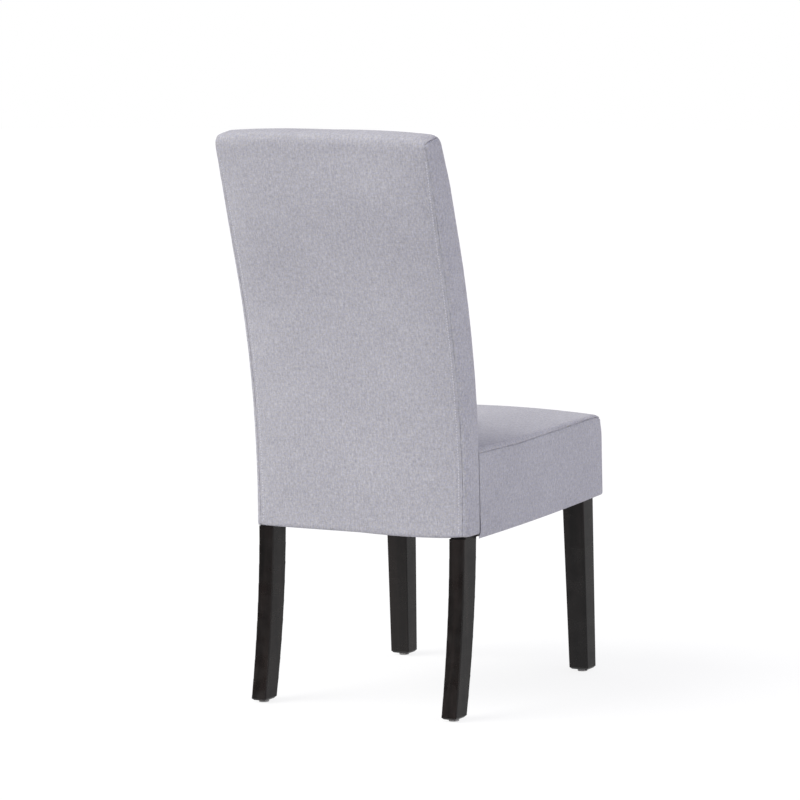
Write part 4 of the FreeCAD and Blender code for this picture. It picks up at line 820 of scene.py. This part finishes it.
def sewn_panels(piece, form, whole_name, seam_pull, distance_of, strength, seed):
    """Draw a cover's seams in, part it into its panels, and finish each as cloth with a wall."""
    seams = seam_vertices(piece)
    points = points_of(piece)
    points[seams] -= normals_of(piece)[seams] * seam_pull
    put_points(piece, points)
    found = panels(piece, whole_name)
    for part in found.values():
        modified(part, "SUBSURF", levels=1, render_levels=1, boundary_smooth="PRESERVE_CORNERS")
        seam_puckers(part, distance_of, strength, seed)
        walled(part, FABRIC)
        cloth_map(part)
    bpy.data.objects.remove(form)
    return found


# The seat's cover

def share_to_front(forward):
    """0 at the joint with the back, 1 at the seat's front."""
    return (SEAT_JOINT - forward) / SEAT_LENGTH


def seat_base(forward):
    """Height of the seat's underside, which rises a little to the front."""
    return 0.310 + 0.012 * share_to_front(forward)


def seat_top_line(points):
    """Height of the seat's top over each point, as the sewing draws it down."""
    return 0.4724 + 0.0105 * (1 - (points[:, 0] / HALF_WIDTH) ** 2)


def seat_seam_height(forward):
    """Height of the seat's side seam: it dips behind the middle and climbs to the front."""
    rear, dip, front = 0.4560, 0.4552, 0.4690
    share = share_to_front(forward)
    if share < 0.30:
        return rear + (dip - rear) * share / 0.30
    return dip + (front - dip) * (share - 0.30) / 0.70


def seat_block():
    """The seat's cover as one shell over the CAD form, with its flange turned under the rails."""
    form = form_of("seat_form", ["seat_cover", "seat_side_panel_left", "seat_side_panel_right"])
    tree = BVHTree.FromObject(form, bpy.context.evaluated_depsgraph_get())
    insets = [step * MM for step in (0, 2.3, 4.4, 6.0, 7.8, 10.2, 13.6, 18.5, 26.0)]
    columns, layers, rows = 2 * (len(insets) - 1) + MIDDLE_COLUMNS, 60, 26
    piece = gridded_cube("seat_shell", columns, layers, rows)
    across_places = column_places(insets, MIDDLE_COLUMNS)
    front_places = [SEAT_FRONT + step * MM for step in (0, 4, 9, 16, 24)]
    rear_places = [SEAT_REAR - step * MM for step in (16, 6, 2, 0)]
    flange_front, flange_rear = SEAT_FRONT + SEAT_FLANGE, SEAT_REAR - SEAT_FLANGE
    forward_places = front_places + even(layers - 9, flange_front, flange_rear) + rear_places

    def top_at(across, forward):
        """Height of the CAD cover's top, carried on over its rounded edges."""
        inside = min(max(forward, SEAT_FRONT + 0.030), SEAT_REAR - 0.006)
        start = Vector((max(min(across, 0.206), -0.206), inside, 1.0))
        place, _, _, _ = tree.ray_cast(start, Vector((0, 0, -1)))
        return place.z + (forward - inside) * -0.03

    def heights_at(across, forward):
        """Heights of the rows, closest together at the side seam."""
        seam = seat_seam_height(forward)
        beside_seam = [seam + step * MM for step in (-6, -2.5, 0, 2, 4.5)]
        heights = even(SEAT_LOW_ROWS, seat_base(forward), beside_seam[0])[:-1] + beside_seam
        return heights + even(rows + 1 - len(heights), beside_seam[-1], top_at(across, forward))[1:]

    heights = [[heights_at(across, forward) for forward in forward_places] for across in across_places]
    keys = np.rint(points_of(piece) * (columns, layers, rows)).astype(int)
    placed = np.array([(across_places[column], forward_places[layer], heights[column][layer][row])
                       for column, layer, row in keys])
    put_points(piece, placed)
    seam_row = SEAT_LOW_ROWS + 2

    def region(place):
        """The sides run under as a flange and round the rear corners; the wrap is the rest."""
        right, left = place[:, 0], columns - place[:, 0]
        if (place[:, 2] > seam_row).any():
            return WRAP
        if (place[:, 2] == 0).all():
            reach = SEAT_FLANGE_COLUMNS
        else:
            reach = 2 if (place[:, 1] == layers).all() else 0
        if (right <= reach).all():
            return SIDE_RIGHT
        return SIDE_LEFT if (left <= reach).all() else WRAP

    mark_regions(piece, keys, region)
    doomed = []
    for face in piece.data.polygons:
        across, forward, _ = placed[list(face.vertices)].mean(axis=0)
        inside = abs(across) < HALF_WIDTH - SEAT_FLANGE and flange_front < forward < flange_rear
        if inside and (keys[list(face.vertices)][:, 2] == 0).all():
            doomed.append(face.index)
    delete_faces(piece, doomed)
    bottom = np.array([point[2] <= seat_base(point[1]) + 1e-4 for point in points_of(piece)])
    put_points(piece, points_of(piece) + np.where(bottom[:, None], 0, normals_of(piece) * 0.0006))
    snapped(piece, form, vertex_group(piece, "laid", ~bottom))
    return piece, form, bottom


def seat_seam_distance(place):
    """How far a place on the seat's cover is from its side seam, and how far along the seam it is."""
    if abs(place[0]) > HALF_WIDTH - 0.02:
        return abs(place[2] - seat_seam_height(place[1])), place[1]
    return 1.0, 0.0


def as_sewn_seat(points, bottom):
    """The uneven set of this seat: fuller front corners, a sagging hem, and a rear edge that beds in."""
    points = points.copy()
    side = np.sign(points[:, 0])
    wide = np.abs(points[:, 0])
    front = (1, -1, -SEAT_FRONT)
    old = np.where(bottom, 0.0, CAD_SEAT_ROUNDING)
    round_corner(points, (0, side, HALF_WIDTH), front, old, SEAT_FRONT_CORNER)
    # Beside the back the seat tucks in a little, and fills the groove that the back's rounded edge leaves
    tuck = 0.0020 * eased(0.085, 0.158, points[:, 1]) * eased(0.314, 0.345, points[:, 2])
    points[:, 0] -= side * tuck * eased(0.19, 0.21, wide)
    wide = np.abs(points[:, 0])
    past = np.clip(wide - (HALF_WIDTH - BACK_LOW_ROUNDING), 0, BACK_LOW_ROUNDING)
    fill = BACK_LOW_ROUNDING - np.sqrt(BACK_LOW_ROUNDING ** 2 - past ** 2) - 0.0005
    most = 0.0095
    under_hem = 0.0070 * (1 - eased(0.3125, 0.320, points[:, 2])) * eased(0.2105, 0.2145, -points[:, 0])
    points[:, 1] += (np.clip(fill, 0, most) + under_hem) * eased(0.110, 0.150, points[:, 1])
    # The top domes over its seams, and rolls over to the front
    along = np.clip(share_to_front(points[:, 1]), 0, 1)
    seam = np.array([seat_seam_height(forward) for forward in points[:, 1]])
    over = np.clip((points[:, 2] - seam) / 0.006, 0, 1)
    dome = 0.0060 * (1 - (points[:, 0] / HALF_WIDTH) ** 2) * (1 - 0.35 * along)
    points[:, 2] += over * (0.0022 - 0.0038 * along + dome)
    top = (2, 1, seat_top_line(points))
    round_corner(points, front, top, CAD_SEAT_FRONT_RADIUS, SEAT_TOP_FRONT_RADIUS)
    # The hem sags between its ends
    sag = 0.0018 + 0.0026 * np.sin(math.pi * along) - 0.0030 * along
    low = 1 - eased(0.315, 0.365, points[:, 2])
    edge = np.maximum(eased(0.204, 0.215, wide), eased(0.293, 0.304, -points[:, 1]))
    points[:, 2] -= sag * low * edge
    return points


def seat_cover():
    piece, form, bottom = seat_block()
    put_points(piece, as_sewn_seat(points_of(piece), bottom))
    rear = points_of(piece)[:, 1] > 0.1475
    cap = np.where(normals_of(piece)[:, 2] > 0.5, 0.0060, 0.0022)
    blown(piece, seam_vertices(piece) | bottom, np.where(rear, 0.0004, cap))
    return sewn_panels(piece, form, "seat", SEAT_SEAM_PULL, seat_seam_distance, 1.3, 11.0)


def squeezed_foam(node):
    """The seat's foam, drawn in at the front corners by the fuller rounding of the sewn cover."""
    slack = 0.0016
    piece = form_of(f"{node}_squeezed", [node])
    points = points_of(piece)
    side = (0, np.sign(points[:, 0]), points[:, 0].max())
    front = (1, -1, -SEAT_FRONT - SEAT_PADDING)
    corner = SEAT_FRONT_CORNER - SEAT_PADDING + slack
    round_corner(points, side, front, CAD_SEAT_ROUNDING - SEAT_PADDING, corner)
    top = (2, 1, seat_top_line(points) - SEAT_PADDING)
    roll = SEAT_TOP_FRONT_RADIUS - SEAT_PADDING + slack
    round_corner(points, front, top, CAD_SEAT_FRONT_RADIUS - SEAT_PADDING, roll)
    put_points(piece, points)
    return piece


# Stitches and base cloths

def topstitching(cover):
    """A row of stitches beside each rear seam of the back, laid on the cover."""
    tree = BVHTree.FromObject(cover, bpy.context.evaluated_depsgraph_get())
    bpy.ops.object.select_all(action="DESELECT")
    bpy.ops.mesh.primitive_uv_sphere_add(segments=6, ring_count=6, radius=1.0, location=(0, 0, 0))
    pattern = bpy.context.object
    only(pattern)
    bpy.ops.object.shade_smooth()
    shape = points_of(pattern) * (0.00070, 0.00042, STITCH / 2)
    lowest, highest = BACK_HEM_HEIGHT + 0.012, 0.965
    stitches = []
    for side in (-1, 1):
        height = lowest
        while height < highest:
            across = side * (HALF_WIDTH - back_seam_inset(height) - STITCH_FROM_SEAM)
            place, normal, _, _ = tree.ray_cast(Vector((across, 1.5, height)), Vector((0, -1, 0)))
            beyond, _, _, _ = tree.ray_cast(Vector((across, 1.5, height + 0.004)), Vector((0, -1, 0)))
            along = (beyond - place).normalized()
            beside = along.cross(normal).normalized()
            frame_of = np.array((beside, normal, along))
            stitch = new_object("stitch", pattern.data.copy())
            put_points(stitch, shape @ frame_of + np.array(place + normal * 0.00012))
            stitches.append(stitch)
            height += STITCH_STEP * along.z
    bpy.data.objects.remove(pattern)
    row = joined(stitches)
    row.name = "back_topstitching"
    row.data.name = row.name
    row.data.materials.clear()
    row.data.materials.append(sewing_thread())
    return row


def base_sheet(name, across, along, height, doomed, slack):
    """A sheet of base cloth stretched between its edges, with a little slack in the middle."""
    bpy.ops.object.select_all(action="DESELECT")
    cells = {"x_subdivisions": len(across) - 1, "y_subdivisions": len(along) - 1}
    bpy.ops.mesh.primitive_grid_add(size=2, location=(0, 0, 0), **cells)
    sheet = bpy.context.object
    sheet.name = name
    sheet.data.name = name
    points = points_of(sheet)
    xs = np.interp(points[:, 0], np.linspace(-1, 1, len(across)), across)
    ys = np.interp(points[:, 1], np.linspace(-1, 1, len(along)), along)
    put_points(sheet, np.column_stack((xs, ys, height(ys))))
    points = points_of(sheet)
    middles = [points[list(face.vertices)].mean(axis=0) for face in sheet.data.polygons]
    delete_faces(sheet, [index for index, middle in enumerate(middles) if doomed(middle[0], middle[1])])
    # The cloth's face looks down
    mode("EDIT")
    bpy.ops.mesh.select_all(action="SELECT")
    bpy.ops.mesh.flip_normals()
    mode("OBJECT")
    points = points_of(sheet)
    edge = np.zeros(len(points), bool)
    uses = {}
    for face in sheet.data.polygons:
        for key in face.edge_keys:
            uses[key] = uses.get(key, 0) + 1
    for key, count in uses.items():
        if count == 1:
            edge[list(key)] = True
    blown(sheet, edge, np.full(len(points), slack))
    points = points_of(sheet)
    reach = np.minimum(np.abs(np.abs(points[:, 0]) - across[-1]),
                       np.minimum(np.abs(points[:, 1] - along[0]), np.abs(points[:, 1] - along[-1])))
    for index, place in enumerate(points):
        pull = ripple(place[0], 21.0, 60) + ripple(place[1], 23.0, 60)
        place[2] += 0.0004 * pull * math.exp(-reach[index] / 0.03) * min(reach[index] / 0.004, 1)
    put_points(sheet, points)
    walled(sheet, BASE_CLOTH)
    return sheet


def dust_cover():
    """The black cloth under the seat, notched round the front legs."""
    leg_inner, leg_front, leg_rear = 0.1659, -0.2678, -0.2287
    half, front, rear = 0.202, -0.291, 0.1367
    across = [-half, -0.190, -0.178] + even(30, -leg_inner, leg_inner) + [0.178, 0.190, half]
    along = [front, -0.280, leg_front, -0.255, -0.242] + even(30, leg_rear, rear)

    def height(forward):
        return seat_base(forward) - 0.0004

    def over_leg(x, y):
        return abs(x) > leg_inner and leg_front < y < leg_rear

    return base_sheet("seat_base_cloth", across, along, height, over_leg, 0.0035)


def base_strip():
    """The strip of black cloth between the rear legs."""
    across = even(40, -0.1794, 0.1794)
    along = even(6, 0.1562, 0.1962)

    def height(forward):
        return np.full(len(forward), 0.3134)

    def nowhere(x, y):
        return False

    return base_sheet("back_base_cloth", across, along, height, nowhere, 0.0012)


# The studio

def soft_box(name, towards, angle, energy, color):
    lamp = bpy.data.lights.new(name, "SUN")
    lamp.angle = math.radians(angle)
    lamp.energy = energy
    lamp.color = color
    new_object(name, lamp).rotation_euler = towards.to_track_quat("Z", "Y").to_euler()


def either(tree, factor, first, second):
    """The first shader where a factor is 0, and the second where it is 1."""
    mix = tree.nodes.new("ShaderNodeMixShader")
    for socket, source in zip(mix.inputs, (factor, first.outputs[0], second.outputs[0])):
        tree.links.new(source, socket)
    return mix


def floor_and_light():
    bpy.ops.object.select_all(action="DESELECT")
    bpy.ops.mesh.primitive_plane_add(size=40, location=(0, 0, 0))
    floor = bpy.context.object
    floor.name = "studio_floor"
    paint = Recipe("studio_white")
    paint.set(Base_Color=(0.80, 0.80, 0.80, 1), Roughness=0.9)
    glow = paint.add("ShaderNodeEmission")
    fill_inputs(glow, Strength=1.10)
    path = paint.add("ShaderNodeLightPath")
    glow_share = paint.math("MULTIPLY", path.outputs["Is Camera Ray"], 0.78)
    lit = either(paint.tree, glow_share, paint.shader, glow)
    output = paint.tree.nodes["Material Output"]
    # Polish mirrors a dimmer floor, darkest on the camera's side of the chair: a painted reflection, a glow
    # that only glossy rays see in place of the lit floor
    height = paint.add("ShaderNodeSeparateXYZ")
    paint.link(paint.coordinates.outputs["Object"], height.inputs["Vector"])
    painted_floor_reflection = paint.add("ShaderNodeEmission")
    paint.link(paint.spread(height.outputs["Y"], 0.9, 2.2, 0.38, 0.03), painted_floor_reflection.inputs["Strength"])
    last = either(paint.tree, path.outputs["Is Glossy Ray"], lit, painted_floor_reflection)
    paint.link(last.outputs["Shader"], output.inputs["Surface"])
    floor.data.materials.append(paint.material)

    world = bpy.data.worlds.new("studio")
    bpy.context.scene.world = world
    world.use_nodes = True
    tree = world.node_tree
    tree.nodes.clear()

    def background(color, strength):
        shader = tree.nodes.new("ShaderNodeBackground")
        fill_inputs(shader, Color=(*color, 1), Strength=strength)
        return shader

    seen = background((1.0, 1.0, 1.0), 1.0)
    mirrored = background((1.0, 1.0, 1.0), 1.0)
    ambient = background((0.88, 0.87, 1.0), 0.56)
    # What polish mirrors: the white backdrop ahead of the camera, a dim studio behind it
    place = tree.nodes.new("ShaderNodeTexCoord")
    parts = tree.nodes.new("ShaderNodeSeparateXYZ")
    tree.links.new(place.outputs["Generated"], parts.inputs["Vector"])
    fade = tree.nodes.new("ShaderNodeMapRange")
    fill_inputs(fade, From_Min=-0.35, From_Max=0.35, To_Min=0.40, To_Max=0.03)
    tree.links.new(parts.outputs["Y"], fade.inputs["Value"])
    tree.links.new(fade.outputs["Result"], mirrored.inputs["Strength"])
    path = tree.nodes.new("ShaderNodeLightPath")
    unseen = either(tree, path.outputs["Is Glossy Ray"], ambient, mirrored)
    last = either(tree, path.outputs["Is Camera Ray"], unseen, seen)
    output = tree.nodes.new("ShaderNodeOutputWorld")
    tree.links.new(last.outputs["Shader"], output.inputs["Surface"])

    # Two soft boxes: the key stands to the left of the camera, and a weak fill to its right
    soft_box("soft_key", Vector((0.52, 0.42, 0.745)), 38, 2.10, (1.0, 0.99, 0.94))
    soft_box("soft_fill", Vector((-0.95, 0.0, 0.31)), 60, 0.45, (0.88, 0.88, 1.0))


# Finishes of the CAD nodes

def paint_nodes():
    """Every CAD node gets its finish."""
    finishes = {
        "leg_wood": espresso_wood(),
        "frame_wood": plain_wood("pale_frame_wood", (0.56, 0.40, 0.25), (0.42, 0.28, 0.16)),
        "dowel_wood": plain_wood("beech_dowel", (0.62, 0.44, 0.28), (0.50, 0.34, 0.20)),
        "panel_board": fibreboard(),
        "wadding": fibre_wadding(),
        "foam": cream_foam(),
        "webbing": elastic_webbing(),
        "base_cloth": base_cloth(),
        "glide_nylon": glide_nylon(),
        "plated_steel": metal("zinc_plated_steel", (0.62, 0.63, 0.65), (0.36, 0.36, 0.37)),
        "insert_brass": metal("insert_brass", (0.72, 0.53, 0.24), (0.45, 0.32, 0.14)),
        "cover_fabric": linen("hidden_cover_linen"),
    }
    for row in frame["record"]["subparts"]:
        node = NODES[row["node"]]
        node.data.materials.clear()
        node.data.materials.append(finishes[row["material_slot"]])


# The whole chair

photo_camera()
floor_and_light()
paint_nodes()
fabric = linen()

black_cloth = NODES["dust_cover"].data.materials[0]
stands_for = {
    "back_wrap": ("back_cover", "back_wadding"),
    "back_side_left": ("back_side_panel_left",),
    "back_side_right": ("back_side_panel_right",),
    "seat_wrap": ("seat_cover", "seat_wadding"),
    "seat_side_left": ("seat_side_panel_left",),
    "seat_side_right": ("seat_side_panel_right",),
}
for name, part in {**back_cover(), **seat_cover()}.items():
    part.data.materials.clear()
    part.data.materials.append(fabric)
    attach(part, "root")
    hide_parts(*stands_for[name])

for node in ("seat_foam", "seat_front_pad"):
    foam = squeezed_foam(node)
    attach(foam, "root")
    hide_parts(node)

stitches = topstitching(bpy.data.objects["back_wrap"])
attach(stitches, "root")
under_seat = dust_cover()
under_back = base_strip()
for sheet, node, flat, area, held_by in (
    (under_seat, "dust_cover", (0.404, 0.428), 0.1701, ["seat_wrap"]),
    (under_back, "back_base_strip", (0.359, 0.040), 0.01435, ["back_bottom_rail"]),
):
    sheet.data.materials.clear()
    sheet.data.materials.append(black_cloth)
    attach(sheet, "root")
    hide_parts(node)
    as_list(held_by)

bpy.context.scene.view_settings.view_transform = "Standard"
